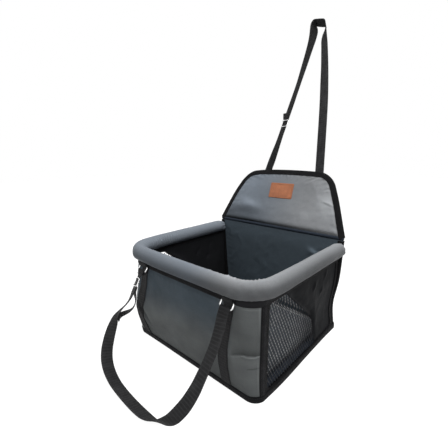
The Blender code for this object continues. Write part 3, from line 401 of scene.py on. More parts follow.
def webbing_look(name, colour):
    """Strap webbing: thick ribs in chevrons between two firm edges."""
    look = Look(name, colour, 0.55, Specular_IOR_Level=0.1)
    across, along = look.node("SeparateXYZ", Vector=look.place()).outputs[:2]
    slant = look.math("ABSOLUTE", look.math("SUBTRACT", look.math("FLOORED_MODULO", across, 0.0084), 0.0042))
    ribs = look.math("SINE", look.math("ADD", look.math("MULTIPLY", along, tau / 0.0021),
                                       look.math("MULTIPLY", slant, tau / 0.0042)))
    threads = look.math("SINE", look.math("MULTIPLY", across, tau / 0.0014))
    broad = look.math("SINE", look.math("MULTIPLY", along, tau / 0.0066))
    height = look.math("ADD", ribs, look.math("MULTIPLY", threads, 0.45))
    tone = look.tint(colour, 0.45, look.ramp(ribs, -1.0, 0.6, 0.6, 0.0))
    tone = look.tint(tone, 1.9, look.ramp(look.noise(60.0, 5.0), 0.45, 0.75, 0.0, 0.6))
    tone = look.tint(tone, 2.1, look.ramp(broad, 0.1, 1.0, 0.0, 0.45))
    tone = look.tint(tone, 3.2, look.attribute("wear", 0.6))
    # Painted shade: the tone attribute darkens the strap towards near black.
    tone = look.tint(tone, 0.3, look.attribute("tone"))
    bump = look.bump(height, 0.0003, 0.9, look.bump(look.noise(120.0, 4.0), 0.0008, 0.3))
    return look.finish(tone, bump, look.ramp(ribs, -1.0, 1.0, 0.68, 0.5))


def streaked_look(name, colour, streaks, tone, bump, rough, **sockets):
    """A look whose tone, relief and gloss all follow one noise."""
    look = Look(name, colour, 0.5, **sockets)
    value = look.noise(*streaks)
    return look.finish(look.mottle(value, *tone), look.bump(value, *bump), look.ramp(value, *rough))


def net_look(name, dark, light):
    """Net threads, paler where the piece's own shade attribute paints light on them."""
    look = Look(name, dark, 0.5, Specular_IOR_Level=0.12)
    twist = look.noise(1500.0, 2.0)
    tone = look.blend(look.attribute("shade"), dark, light)
    tone = look.tint(tone, 0.0, look.ramp(twist, 0.35, 0.7, 0.0, 0.35))
    return look.finish(tone, look.bump(twist, 0.0002, 0.6))


def leather_look(name, colour):
    look = Look(name, colour, 0.52, Specular_IOR_Level=0.4)
    grain = look.ramp(look.cells(1100.0, "DISTANCE_TO_EDGE"), 0.0, 0.25, 0.0, 1.0)
    broad = look.noise(70.0, 4.0)
    tone = look.mottle(broad, 0.3, 0.7, 0.82, 1.2)
    tone = look.tint(tone, 0.6, look.ramp(grain, 0.0, 1.0, 0.35, 0.0))
    tone = look.tint(tone, 0.35, look.attribute("wear"))
    bump = look.bump(grain, 0.00016, 0.7, look.bump(look.noise(200.0, 4.0), 0.0006, 0.4))
    return look.finish(tone, bump, look.ramp(broad, 0.3, 0.7, 0.45, 0.62))


def foam_look(name, colour):
    look = Look(name, colour, 0.9)
    cells = look.cells(700.0, "F1")
    return look.finish(look.mottle(cells, 0.0, 0.7, 1.0, 0.6), look.bump(cells, 0.0006, 0.6))


def brushed_look(name, colour):
    """Soft brushed cushion cloth."""
    look = Look(name, colour, 0.85, Sheen_Weight=0.12, Sheen_Roughness=0.5, Specular_IOR_Level=0.2)
    pile = look.noise(1300.0, 4.0, 0.7)
    tone = look.mottle(look.noise(16.0, 4.0), 0.3, 0.7, 0.85, 1.2)
    tone = look.tint(tone, 0.6, look.ramp(pile, 0.4, 0.65, 0.4, 0.0))
    tone = look.tint(tone, 1.7, look.attribute("wear", 0.5))
    return look.finish(tone, look.bump(pile, 0.0005, 0.7, look.bump(look.noise(240.0, 4.0), 0.001, 0.4)))


# Each look with the part's slot that it belongs to
LOOKS = {
    # The grey's second tone is a darker, cooler copy of it: painted shade towards the left of the rim and
    # the backrest.
    "grey": (coated_cloth("grey_cloth_look", (0.185, 0.192, 0.2), other=(0.135, 0.155, 0.18)),
             "grey_cloth"),
    # The slate's second tone is a paler grey copy of it: painted light on the corner panel and the lower
    # front.
    "slate": (coated_cloth("slate_cloth_look", (0.072, 0.092, 0.11), 0.52, other=(0.122, 0.13, 0.131)),
              "slate_cloth"),
    "lining": (coated_cloth("lining_cloth_look", (0.03, 0.038, 0.052), 0.6, 0.0009), "slate_cloth"),
    "black_cloth": (coated_cloth("black_cloth_look", (0.014, 0.0145, 0.016), 0.45, specular=0.01,
                                 wear=1.0, relief=0.15), "black_cloth"),
    "tape": (ribbed_tape("black_tape_look", (0.009, 0.009, 0.01)), "black_tape"),
    "webbing": (webbing_look("black_webbing_look", (0.02, 0.02, 0.021)), "black_webbing"),
    "thread": (streaked_look("black_thread_look", (0.02, 0.02, 0.021), (2400.0, 2.0, 0.5, (1, 1, 0.4)),
                             (0.3, 0.7, 0.7, 1.4), (0.0002, 0.5), (0.3, 0.7, 0.5, 0.5),
                             Specular_IOR_Level=0.12), "black_tape"),
    "net": (net_look("net_look", (0.013, 0.014, 0.017), (0.64, 0.64, 0.65)), "black_net"),
    "leather": (leather_look("tan_leather_look", (0.43, 0.155, 0.07)), "tan_leather"),
    "steel": (streaked_look("steel_look", (0.78, 0.78, 0.78), (260.0, 6.0, 0.7, (1, 1, 4)),
                            (0.45, 0.75, 1.0, 0.81), (0.0002, 0.25), (0.35, 0.75, 0.14, 0.38),
                            Metallic=1.0, Coat_Weight=0.15), "steel"),
    "foam": (foam_look("white_foam_look", (0.75, 0.74, 0.7)), "white_foam"),
    "board": (streaked_look("board_look", (0.32, 0.32, 0.31), (300.0, 6.0, 0.65, (1, 8, 1)),
                            (0.3, 0.7, 0.75, 1.2), (0.0003, 0.4), (0.3, 0.7, 0.6, 0.8)), "board"),
    "tube": (streaked_look("white_tube_look", (0.7, 0.71, 0.72), (180.0, 5.0, 0.6, (1, 6, 1)),
                           (0.4, 0.7, 1.0, 0.88), (0.0002, 0.3), (0.3, 0.7, 0.28, 0.45)), "white_tube"),
    "cushion": (brushed_look("cushion_cloth_look", (0.034, 0.041, 0.05)), "cushion_cloth"),
}


# Mesh helpers

PIECES = []


def mix(low, high, share):
    return low + (high - low) * share


def spread(low, high, count):
    return [mix(low, high, index / count) for index in range(count + 1)]


def bell(value, width):
    return exp(-(value / width) ** 2)


def ease(low, high, value):
    share = min(max((value - low) / (high - low), 0), 1)
    return share * share * (3 - 2 * share)


def ripple(x, y, z=0.0):
    return noise.fractal(Vector((x, y, z)), 0.9, 2.1, 4)


def place(made, body, node=None):
    """The piece rides on a body, and stands for a node of the part if one is named."""
    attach(made, body)
    if node:
        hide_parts(node)
    return made


def add_mark(mesh, name, values):
    layer = mesh.attributes.new(name, "FLOAT", "POINT")
    layer.data.foreach_set("value", np.asarray(values, dtype=np.float32).ravel())


def make_object(name, points, faces, look, uvs=None, smooth=True, sharp=None, **marks):
    """A mesh object in the part's frame: marks are given for each point, uvs for each face corner."""
    mesh = bpy.data.meshes.new(name)
    mesh.from_pydata([tuple(point) for point in points], [], faces)
    if smooth:
        mesh.shade_smooth()
    if uvs is not None:
        layer = mesh.uv_layers.new(name="UVMap")
        layer.data.foreach_set("uv", np.asarray(uvs, dtype=np.float32).ravel())
    for key, values in marks.items():
        if values is not None:
            add_mark(mesh, key, values)
    mesh.materials.append(LOOKS[look][0])
    made = add_object(name, mesh)
    PIECES.append(made)
    edit = bmesh.new()
    edit.from_mesh(mesh)
    bmesh.ops.recalc_face_normals(edit, faces=edit.faces)
    edit.to_mesh(mesh)
    edit.free()
    if sharp is not None:
        mesh.set_sharp_from_angle(angle=radians(sharp))
    return made


def around(grid, axis, closed):
    """Steps from each point's neighbour before it to the one after it."""
    if closed:
        return np.roll(grid, -1, axis=axis) - np.roll(grid, 1, axis=axis)
    return np.gradient(grid, axis=axis)


def grid_normals(grid, wrap=False):
    normal = np.cross(around(grid, 1, wrap), around(grid, 0, False))
    return normal / np.maximum(np.linalg.norm(normal, axis=2, keepdims=True), 1e-12)


def lengths_along(grid, axis):
    """Mean distance travelled along an axis of the grid, in metres."""
    step = np.linalg.norm(np.diff(grid, axis=axis), axis=2).mean(axis=1 - axis)
    return np.concatenate([[0.0], np.cumsum(step)])


def cloth_body(name, grid, thick, look, node=None, body="bucket", wrap=False, inward=1, **marks):
    """A closed cloth body: the grid is its outer face and the inner one lies thick behind it.

    wrap joins each row's end to its start.
    """
    grid = np.asarray(grid, dtype=float)
    rows, columns = grid.shape[:2]
    inner = grid - grid_normals(grid, wrap) * thick * inward
    count = rows * columns
    points = np.concatenate([grid.reshape(-1, 3), inner.reshape(-1, 3)])
    flat = np.stack(np.meshgrid(lengths_along(grid, 1), lengths_along(grid, 0)), axis=2).reshape(-1, 2)
    faces = []
    last_column = columns if wrap else columns - 1
    for row in range(rows - 1):
        for column in range(last_column):
            low, after = row * columns, (column + 1) % columns
            face = (low + column, low + after, low + columns + after, low + columns + column)
            faces += [face, tuple(count + index for index in reversed(face))]
    edges = [(row * columns + column, row * columns + (column + 1) % columns)
             for row in (0, rows - 1) for column in range(last_column)]
    if not wrap:
        edges += [(row * columns + column, (row + 1) * columns + column)
                  for column in (0, columns - 1) for row in range(rows - 1)]
    faces += [(start, end, count + end, count + start) for start, end in edges]
    marks = {key: [np.asarray(values).ravel()] * 2 for key, values in marks.items()}
    uvs = np.concatenate([flat, flat])[[index for face in faces for index in face]]
    return place(make_object(name, points, faces, look, uvs, sharp=60, **marks), body, node)


def loft_body(name, rings, look, body, node=None, closed=False, wear=None, sharp=60):
    """A solid through rings of points, closed in a loop or with a cap at each end."""
    grid = np.asarray(rings, dtype=float)
    count, size = grid.shape[:2]
    u = lengths_along(np.concatenate([grid, grid[:, :1]], axis=1), 1)
    v = lengths_along(grid, 0)
    faces, uvs = [], []
    for ring in range(count if closed else count - 1):
        here, below = ring * size, (ring + 1) % count * size
        v_end = v[ring + 1] if ring + 1 < count else v[ring] + (v[1] - v[0])
        for index in range(size):
            after = (index + 1) % size
            faces.append((here + index, here + after, below + after, below + index))
            uvs += [(u[index], v[ring]), (u[index + 1], v[ring]), (u[index + 1], v_end), (u[index], v_end)]
    if not closed:
        for ring, order in ((0, 1), (count - 1, -1)):
            faces.append(tuple(ring * size + index for index in range(size))[::order])
            uvs += [(u[index % size], v[ring]) for index in faces[-1]]
    made = make_object(name, grid.reshape(-1, 3), faces, look, uvs, sharp=sharp, wear=wear)
    return place(made, body, node)


def smooth_route(route, per_span):
    ends = [Vector(row) for row in route]
    ends = [2 * ends[0] - ends[1]] + ends + [2 * ends[-1] - ends[-2]]
    result = []
    for index in range(1, len(ends) - 2):
        a, b, c, d = ends[index - 1:index + 3]
        for t in spread(0, 1, per_span)[:-1]:
            result.append((2 * b + (c - a) * t + (2 * a - 5 * b + 4 * c - d) * t ** 2
                           + (3 * b - a - 3 * c + d) * t ** 3) / 2)
    return result + [ends[-2]]


def tangents(points, closed=False):
    if closed:
        pairs = zip([points[-1]] + points[:-1], points[1:] + points[:1])
    else:
        pairs = zip(points[:1] + points[:-1], points[1:] + points[-1:])
    return [(after - before).normalized() for before, after in pairs]


def turns(sides):
    return [tau * step / sides for step in range(sides)]


def ribbon_body(name, centres, widths, body, node, dark=None):
    """A woven strap with rounded edges along centres, turned as widths say."""
    half_thick, half = WEBBING_THICK / 2, WEBBING_WIDTH / 2
    corner = WEBBING_THICK * 0.45
    right = [(half - corner + corner * cos(turn), half_thick * sin(turn))
             for turn in (-0.6, 0, 0.6)]
    top = [(x, half_thick) for x in spread(half - corner, corner - half, 6)]
    bottom = [(x, -half_thick) for x in spread(corner - half, half - corner, 6)]
    outline = bottom + right + top + [(-x, y) for x, y in reversed(right)]
    rings = []
    for centre, along, across in zip(centres, tangents(centres), widths):
        side = (across - along * across.dot(along)).normalized()
        face = along.cross(side).normalized()
        rings.append([centre + side * x + face * y for x, y in outline])
    wear = [[0.25 * ease(0.8, 1.0, abs(x) / half) for x, y in outline]] * len(rings)
    made = loft_body(name, rings, "webbing", body, node, wear=wear, sharp=80)
    # dark is painted shade: a share for each ring that darkens the strap towards near black.
    if dark is not None:
        add_mark(made.data, "tone", np.repeat(dark, len(outline)))
    return made


def tube_body(name, centres, radius, look, body, node=None, sides=12, closed=False):
    """A round wire or cord along centres."""
    along = tangents(centres, closed)
    guide = Vector((0, 0, 1))
    if abs(along[0].dot(guide)) > 0.9:
        guide = Vector((1, 0, 0))
    side = (guide - along[0] * guide.dot(along[0])).normalized()
    rings = []
    for centre, ahead in zip(centres, along):
        side = (side - ahead * side.dot(ahead)).normalized()
        other = ahead.cross(side)
        rings.append([centre + radius * (cos(turn) * side + sin(turn) * other)
                      for turn in turns(sides)])
    return loft_body(name, rings, look, body, node, closed=closed)


def rounded_outline(corners, radius, count):
    result = []
    for index, corner in enumerate(corners):
        here = Vector(corner)
        before = (Vector(corners[index - 1]) - here).normalized()
        after = (Vector(corners[(index + 1) % len(corners)]) - here).normalized()
        half = before.angle(after) / 2
        centre = here + (before + after).normalized() * radius / sin(half)
        start = here + before * radius / tan(half)
        end = here + after * radius / tan(half)
        for share in spread(0, 1, count):
            result.append(centre + (start.lerp(end, share) - centre).normalized() * radius)
    return result


def rectangle(half_width, half_height):
    return ((-half_width, -half_height), (half_width, -half_height), (half_width, half_height),
            (-half_width, half_height))


def divided(outline, longest, parts):
    """A closed line whose long spans are cut in parts."""
    line = []
    for first, second in zip(outline, outline[1:] + outline[:1]):
        count = parts if (second - first).length > longest else 1
        line += [first.lerp(second, k / count) for k in range(count)]
    return line


def stations_of(line):
    """The distance travelled to each point of a line."""
    return list(accumulate(((b - a).length for a, b in zip(line, line[1:])), initial=0.0))


def spots_on(line, wanted):
    """Each wanted distance along a line, as its span and the share of it."""
    stations = stations_of(line)
    span = 0
    for want in wanted(stations[-1]):
        while span < len(stations) - 2 and stations[span + 1] < want:
            span += 1
        yield span, (want - stations[span]) / max(stations[span + 1] - stations[span], 1e-9)


def evenly(points, pitch, closed=False):
    """The same line with points at an even pitch."""
    line = [Vector(point) for point in points]
    if closed:
        line.append(line[0])
    count = max(2, round(stations_of(line)[-1] / pitch))
    ends = count + (0 if closed else 1)
    spots = spots_on(line, lambda total: [total * index / count for index in range(ends)])
    return [line[span].lerp(line[span + 1], share) for span, share in spots]


def stitches(name, lines, body, pitch=0.0042, long=0.003, radius=0.00042):
    """Rows of short sewn stitches; each line is a list of (place, outward normal) pairs."""
    points, faces = [], []
    sides = 6
    profile = ((-0.5, 0.35), (-0.36, 0.85), (0.0, 1.0), (0.36, 0.85), (0.5, 0.35))
    for line in lines:
        places = [Vector(spot) for spot, _ in line]
        normals = [Vector(normal) for _, normal in line]
        count = int(stations_of(places)[-1] / pitch)
        for span, share in spots_on(places, lambda total: [(k + 0.5) * total / count for k in range(count)]):
            centre = places[span].lerp(places[span + 1], share)
            along = (places[span + 1] - places[span]).normalized()
            up = normals[span].lerp(normals[span + 1], share)
            up = (up - along * up.dot(along)).normalized()
            side = along.cross(up)
            start = len(points)
            for offset, size in profile:
                arch = radius * 0.9 - (2 * offset) ** 2 * radius * 1.1
                middle = centre + along * offset * long + up * arch
                points += [middle + radius * size * (cos(turn) * side + sin(turn) * up)
                           for turn in turns(sides)]
            for low in range(start, start + (len(profile) - 1) * sides, sides):
                for step in range(sides):
                    after = (step + 1) % sides
                    faces.append((low + step, low + after, low + sides + after, low + sides + step))
            faces.append(tuple(start + step for step in reversed(range(sides))))
            faces.append(tuple(len(points) - sides + step for step in range(sides)))
    return place(make_object(name, points, faces, "thread"), body)


# The part's own surfaces

def front_corner(height, inset):
    share = height / WALL_TOP
    front = mix(BASE_HALF_DEPTH, FRONT_TOP, share)
    radius = mix(BASE_FRONT_CORNER, TOP_FRONT_CORNER, share)
    sweep = acos(1 - (front - SEAM_FROM_MIDDLE) / radius)
    return side_x(height) - radius * sin(sweep), radius - front, radius - inset, sweep


def front_face_y(x, height, inset):
    centre_x, centre_y, radius, _ = front_corner(height, inset)
    swell = FRONT_SWELL * sin(pi * height / WALL_TOP)
    return centre_y - radius - swell * max(1 - (x / centre_x) ** 2, 0)


def front_plan(height, inset, corner_steps, front_steps):
    centre_x, centre_y, radius, sweep = front_corner(height, inset)
    arc = [(centre_x + radius * sin(turn), centre_y - radius * cos(turn))
           for turn in spread(0, sweep, corner_steps)][1:]
    middle = [(x, front_face_y(x, height, inset)) for x in spread(-centre_x, centre_x, front_steps)]
    return [Vector((x, y, height)) for x, y in [(-x, y) for x, y in reversed(arc)] + middle + arc]


def side_x(height):
    return mix(SEAM_HALF_WIDTH_LOW, SEAM_HALF_WIDTH_TOP, height / WALL_TOP)


def back_point(x, down, out):
    return Vector((x, HINGE_BACK - down * sin(BACK_TILT) + out * cos(BACK_TILT),
                   HINGE_HEIGHT - down * cos(BACK_TILT) - out * sin(BACK_TILT)))


def backrest_point(x, up, out):
    return Vector((x, HINGE_BACK + up * sin(BACKREST_LEAN) + out * cos(BACKREST_LEAN),
                   HINGE_HEIGHT + up * cos(BACKREST_LEAN) - out * sin(BACKREST_LEAN)))


def back_front_y(height):
    down = (HINGE_HEIGHT - height) / cos(BACK_TILT)
    return back_point(0, down, -(BOUND_HALF_THICK + GAP)).y


def backrest_edge(inset, arc_steps):
    """The right half of the backrest's outline, from its foot to the middle of its top."""
    slope = BACKREST_SIDE_SLOPE
    normal = Vector((cos(slope), sin(slope)))
    reach = normal.dot(Vector((BACKREST_HALF_WIDTH, 0)))
    centre_up = BACKREST_LENGTH - BACKREST_CORNER
    centre = Vector(((reach - BACKREST_CORNER - normal.y * centre_up) / normal.x, centre_up))
    arc = [centre + (BACKREST_CORNER - inset) * Vector((cos(turn), sin(turn)))
           for turn in spread(slope, pi / 2, arc_steps)]
    low = BACK_HALF_THICK + GAP
    return [Vector(((reach - inset - normal.y * low) / normal.x, low))] + arc


CARRY_DOWN = Vector((0, -CARRY_LEAN_RUN, -CARRY_LEAN_DROP)).normalized()
CARRY_OUT = Vector((0, CARRY_DOWN.z, -CARRY_DOWN.y))
BACKREST_FRONT = Vector((0, -cos(BACKREST_LEAN), sin(BACKREST_LEAN)))
SIDEWAYS = Vector((1, 0, 0))


def carry_point(x, along, out=0.0):
    return Vector((x, RING_AXIS_Y, RING_AXIS_Z)) + CARRY_DOWN * along + CARRY_OUT * out


def headrest_point(x, up):
    return backrest_point(x, up, BOUND_HALF_THICK + GAP + WEBBING_THICK / 2)


def turned_width(along, turn, normal):
    angle = radians(turn)
    return normal.cross(along).normalized() * cos(angle) + normal * sin(angle)


def turned_route(rows, per_span, point, normal):
    """A strap's centres, and its width at each of them, from rows of place and turn."""
    rows = smooth_route(rows, per_span)
    centres = [point(row.x, row.y) for row in rows]
    return centres, [turned_width(along, row.z, normal) for along, row in zip(tangents(centres), rows)]


# Cords

def strap_end(x):
    """A strap's end, from its sewn lap round the ring."""
    radius = RING_WIRE + BAR_PLAY + WEBBING_THICK / 2
    bend = [carry_point(x, RING_LENGTH - radius * sin(turn), -radius * cos(turn))
            for turn in spread(0, pi, 10)]
    return [carry_point(x, RING_LENGTH + STRAP_LAP, -(WEBBING_THICK + GAP))] + bend


def ring_centres(x):
    half = WEBBING_WIDTH / 2 + RING_SIDE_PLAY + RING_WIRE
    corners = ((x - half, 0), (x + half, 0), (x + half, RING_LENGTH), (x - half, RING_LENGTH))
    return [carry_point(p.x, p.y) for p in rounded_outline(corners, RING_CORNER, 6)]


def slider_body(node, rows, point, normal):
    """A ladder slider of round wire: a loop with one bar across its middle, behind the strap."""
    first, second = (point(row[0], row[1]) for row in rows)
    along = (second - first).normalized()
    centre = first.lerp(second, 1 / 2)
    across = turned_width(along, rows[0][2], normal)
    out = along.cross(across).normalized()
    wire = SLIDER_BAR_THICK * 0.62
    lift = WEBBING_THICK / 2 + SLIDER_PLAY + SLIDER_BAR_THICK / 2
    half = WEBBING_WIDTH / 2 + SLIDER_SIDE_PLAY + SLIDER_RAIL / 2
    end = SLIDER_LENGTH / 2 - wire
    loop = []
    for p in rounded_outline(((half, end), (-half, end), (-half, -end), (half, -end)), 0.0035, 6):
        height = lift * ease(0.0, 1.0, (abs(p.y) / end - 0.45) / 0.5)
        loop.append(centre + across * p.x + along * p.y + out * height)
    loop = evenly(loop, 0.0011, closed=True)
    bar = [centre + across * x + out * (-lift * (1 - ease(0.86, 1.0, abs(x) / half)))
           for x in spread(-half, half, 28)]
    pieces = [tube_body(node + "_wire", loop, wire, "steel", node, node, closed=True),
              tube_body(node + "_wire_bar", bar, wire * 0.95, "steel", node)]
    return centre, along, across, pieces


def box_stitch(centre, along, across, up, length, width):
    """Lines of a sewn square with a cross in it."""
    corners = [centre + along * a * length / 2 + across * b * width / 2 for a, b in rectangle(1, 1)]
    return [[(corners[a].lerp(corners[b], share), up) for share in spread(0, 1, 4)]
            for a, b in ((0, 1), (1, 2), (2, 3), (3, 0), (0, 2), (1, 3))]


def build_carry_strap():
    route, turned = turned_route(CARRY_ROUTE, 6, carry_point, CARRY_OUT)
    left = strap_end(RING_PLACES["left"])
    right = strap_end(RING_PLACES["right"])[::-1]
    centres = left + route + right
    widths = [SIDEWAYS] * len(left) + turned + [SIDEWAYS] * len(right)
    strap = ribbon_body("carry_strap_webbing", centres, widths, "carry_strap", "carry_strap")
    rings = [tube_body(side + "_ring_wire", ring_centres(middle), RING_WIRE, "steel", "carry_strap",
                       side + "_ring", 14, closed=True) for side, middle in RING_PLACES.items()]
    middle, along, across, slider = slider_body("carry_slider", CARRY_ROUTE[1:3], carry_point, CARRY_OUT)

    route, turned = turned_route(CARRY_ROUTE, 2, carry_point, CARRY_OUT)
    low, high = (index * 2 for index in CARRY_TAIL_ROWS)
    under = [middle + along * (SLIDER_LENGTH / 2 + GAP)] + route[low:high + 1]
    across_all = [across] + turned[low:high + 1]
    tail = []
    for index, (point, run, wide) in enumerate(zip(under, tangents(under), across_all)):
        share = index / (len(under) - 1)
        lift = mix(TAIL_LIFT, TAIL_END_LIFT, share) + CARRY_TAIL_BOW * sin(pi * share) ** 2
        tail.append(point - run.cross(wide).normalized() * lift)
    end = ribbon_body("carry_tail_webbing", smooth_route(tail, 4),
                      [wide.normalized() for wide in smooth_route(across_all, 4)],
                      "carry_slider", "carry_strap_tail")

    lines = []
    for middle in RING_PLACES.values():
        centre = carry_point(middle, RING_LENGTH + STRAP_LAP * 0.62, WEBBING_THICK + 0.0013)
        lines += box_stitch(centre, CARRY_DOWN, SIDEWAYS, CARRY_OUT, 0.008, 0.019)
    sewn = stitches("carry_strap_stitches", lines, "carry_strap", *SMALL_STITCH)


def build_headrest_strap():
    centres, widths = turned_route(HEADREST_ROUTE, 6, headrest_point, BACKREST_FRONT)
    # Painted shade: the left strand, up to the loop at the top, is darkened towards near black.
    dark = [0.75 * (1 - ease(0.45, 0.56, index / len(centres))) for index in range(len(centres))]
    strap = ribbon_body("headrest_strap_webbing", centres, widths, "backrest", "headrest_strap", dark)
    middle, along, across, slider = slider_body("headrest_slider", HEADREST_ROUTE[6:8], headrest_point,
                                                BACKREST_FRONT)
    out = along.cross(across)
    start = middle + along * (SLIDER_LENGTH / 2 + WEBBING_THICK) + out * TAIL_LIFT
    tail = [start + (along * HEADREST_TAIL_LENGTH + out * HEADREST_TAIL_RISE) * share
            for share in spread(0, 1, 10)]
    end = ribbon_body("headrest_tail_webbing", tail, [across] * len(tail), "headrest_slider",
                      "headrest_strap_tail")
    lines = []
    for x, up, _ in (HEADREST_ROUTE[0], HEADREST_ROUTE[-1]):
        centre = backrest_point(x, up + 0.008, BOUND_HALF_THICK + GAP + WEBBING_THICK)
        lines += box_stitch(centre, Vector((0, sin(BACKREST_LEAN), cos(BACKREST_LEAN))),
                            SIDEWAYS, -BACKREST_FRONT, 0.01, 0.018)
    sewn = stitches("headrest_strap_stitches", lines, "backrest", *SMALL_STITCH)


# Front webbing

def front_at(across, height, outset):
    """Place and outward direction on the front, going round its corners with the cloth."""
    centre_x, centre_y, radius, _ = front_corner(height, 0)
    sign = 1 if across > 0 else -1
    if abs(across) <= centre_x:
        normal = Vector((0, -1, 0))
        spot = Vector((across, front_face_y(across, height, 0), height))
    else:
        turn = (abs(across) - centre_x) / radius
        normal = Vector((sign * sin(turn), -cos(turn), 0))
        spot = Vector((sign * centre_x, centre_y, height)) + normal * radius
    return spot + normal * (outset + front_bumps(spot.x, height, 1.0)), normal


def strip_middle(side, height):
    """Where a sewn strip's middle lies across the front, at a height."""
    rows = STRIP_ROUTES[side]
    for (low, start), (high, end) in zip(rows, rows[1:]):
        if height <= high:
            return mix(start, end, ease(low, high, height) * 0.35 + 0.65 * (height - low) / (high - low))
    return rows[-1][1]


def build_front_webbing():
    """The strips sewn down the front, and the folded loops that hold the rings."""
    outset, half = GAP + WEBBING_THICK, WEBBING_WIDTH / 2
    radius = RING_WIRE + BAR_PLAY + WEBBING_THICK
    bend = [(RING_AXIS_Y + radius * cos(turn), RING_AXIS_Z - radius * sin(turn))
            for turn in spread(0, pi, 14)]
    path = [(RING_AXIS_Y + radius, WALL_TOP - GAP)] + bend + [(RING_AXIS_Y - radius, WALL_TOP - GAP)]
    lines = []
    for side, place_x in RING_PLACES.items():
        rows = [(strip_middle(side, height), height) for height in spread(TAPE_FOOT, BAND_FOOT - GAP, 60)]
        strip = [[front_at(middle + across, height, outset)[0] for across in spread(-half, half, 10)]
                 for middle, height in rows]
        lines += [[front_at(middle + across, height, outset) for middle, height in rows]
                  for across in (0.0025 - half, half - 0.0025)]
        cloth_body(side + "_strip_webbing", strip, WEBBING_THICK, "webbing", side + "_webbing")
        loop = [[(x, y, z) for x in spread(place_x - half, place_x + half, 6)] for y, z in path]
        cloth_body(side + "_loop_webbing", loop, WEBBING_THICK, "webbing", side + "_ring_loop")
    stitches("strip_stitches", lines, "bucket", 0.0036, 0.0026, 0.00034)


# Front wall

def between(start, full, fading, end, value):
    """One between full and fading, and zero before start and beyond end."""
    return ease(start, full, value) * (1 - ease(fading, end, value))


def line_height(points, y):
    for (y0, z0), (y1, z1) in zip(points, points[1:]):
        if y <= y1:
            return mix(z0, z1, (y - y0) / (y1 - y0))
    return points[-1][1]


def pleat_off(x, height):
    """How far above the corner panel's pleat a place lies."""
    return height - line_height(((0.13, 0.083), (0.141, 0.088), (0.17, 0.102), (0.2, 0.104)), x)


def pleat(x, height):
    """The corner panel's pleat: its lower part stands out over the upper one."""
    off = pleat_off(x, height)
    lip = 0.0034 * exp(min(off, 0) / 0.02) * (1 - ease(-0.0012, 0.0008, off))
    hollow = 0.0018 * exp(-max(off, 0) / 0.01) * ease(-0.0012, 0.0008, off)
    return (lip - hollow) * ease(0.134, 0.15, x)


def crease_frame(x, height):
    """How far along and how far off the front's slanting crease a place lies."""
    slant = Vector((0.032, -0.05)).normalized()
    away = Vector((x + 0.166, height - 0.097))
    return away.dot(slant), away.dot(Vector((-slant.y, slant.x)))


def tuck(x, height):
    """How far above the small tuck at the right seam a place lies."""
    return height - 0.076 - 0.2 * (x - 0.19)


def front_bumps(x, height, from_end):
    """How far the front cloth stands out from its plain surface."""
    soft = 0.0009 * ripple(x * 11, height * 14, 1.0) + 0.0004 * ripple(x * 38, height * 38, 5.0)
    along, off = crease_frame(x, height)
    fold = 0.0026 * bell(off + 0.009, 0.008) - 0.002 * bell(off, 0.0035) + 0.0016 * bell(off - 0.008, 0.007)
    soft += between(-0.012, 0.012, 0.045, 0.07, along) * fold
    soft += 0.0016 * bell(x + 0.112, 0.012) * bell(height - 0.13, 0.06)
    soft += 0.0022 * bell(x + 0.003, 0.055) * bell(height - 0.045, 0.03)
    soft += pleat(x, height)
    soft += ease(0.148, 0.172, x) * 0.002 * bell(height - 0.15, 0.022)
    soft -= ease(0.176, 0.188, x) * 0.0014 * bell(tuck(x, height), 0.003)
    soft += ease(0.15, 0.18, -x) * 0.0022 * bell(height - 0.115, 0.045)
    pucker = sin(x * 390 + 3 * ripple(x * 25, 2.0)) * 0.5 + 0.5
    soft += 0.0007 * pucker * (bell(height - BAND_FOOT + 0.004, 0.014) + bell(height - 0.018, 0.012))
    sewn = ease(0.0, 0.016, height - BASE_TAPE_HEIGHT) * ease(0.0, 0.014, BAND_FOOT - height)
    return soft * sewn * ease(0.006, 0.02, from_end) + 0.0002


def front_grid(inset):
    """The front's cloth face, with its rows closest together at the corner panel's pleat."""
    grid = []
    heights = spread(WALL_FOOT, 0.066, 26)[:-1] + spread(0.066, 0.108, 56)[:-1]
    for height in heights + spread(0.108, WALL_TOP, 46):
        plan = front_plan(height, inset, 16, 72)
        ends = stations_of(plan)
        bumps = [front_bumps(p.x, height, min(end, ends[-1] - end)) for p, end in zip(plan, ends)]
        grid.append([p + Vector((ahead.y, -ahead.x, 0)) * bump
                     for p, ahead, bump in zip(plan, tangents(plan), bumps)])
    return np.array(grid)


def ridges(grid, strength):
    """Ridges: places that stand out from the cloth round them, which the looks make paler."""
    middle = grid.copy()
    for _ in range(6):
        middle[1:-1, 1:-1] = (middle[:-2, 1:-1] + middle[2:, 1:-1] + middle[1:-1, :-2]
                              + middle[1:-1, 2:]) / 4
    return np.clip(((grid - middle) * grid_normals(grid)).sum(axis=2) * strength, 0, 1)


def front_painted_light(x, height, from_right):
    """Painted highlights on the hems and on the pleat's lip and the bulge below it, painted shade in the
    pleat, in the tuck, under the band and in the slanting crease with a painted highlight beside it, and a
    random mottle.
    """
    off = pleat_off(x, height)
    panel = ease(0.136, 0.15, x)
    level = panel * (1.1 * bell(off + 0.0014, 0.0013) - 1.0 * exp(-max(off, 0) / 0.014) * (off > 0))
    level += panel * 0.35 * bell(off + 0.014, 0.012)
    level += 1.0 * bell(from_right - 0.01, 0.0009)
    level += 0.9 * bell(height - BAND_FOOT + 0.0045, 0.001) * ease(0.165, 0.18, x)
    level -= 0.7 * bell(tuck(x, height), 0.0018) * ease(0.176, 0.184, x)
    level -= 0.45 * ease(BAND_FOOT - 0.016, BAND_FOOT, height) * (1 - panel)
    along, off = crease_frame(x, height)
    fold = 0.5 * bell(off - 0.008, 0.007) - bell(off, 0.0045)
    level += between(-0.02, 0.012, 0.04, 0.075, along) * fold
    return level + 0.55 * ripple(x * 9, height * 16, 8.0)


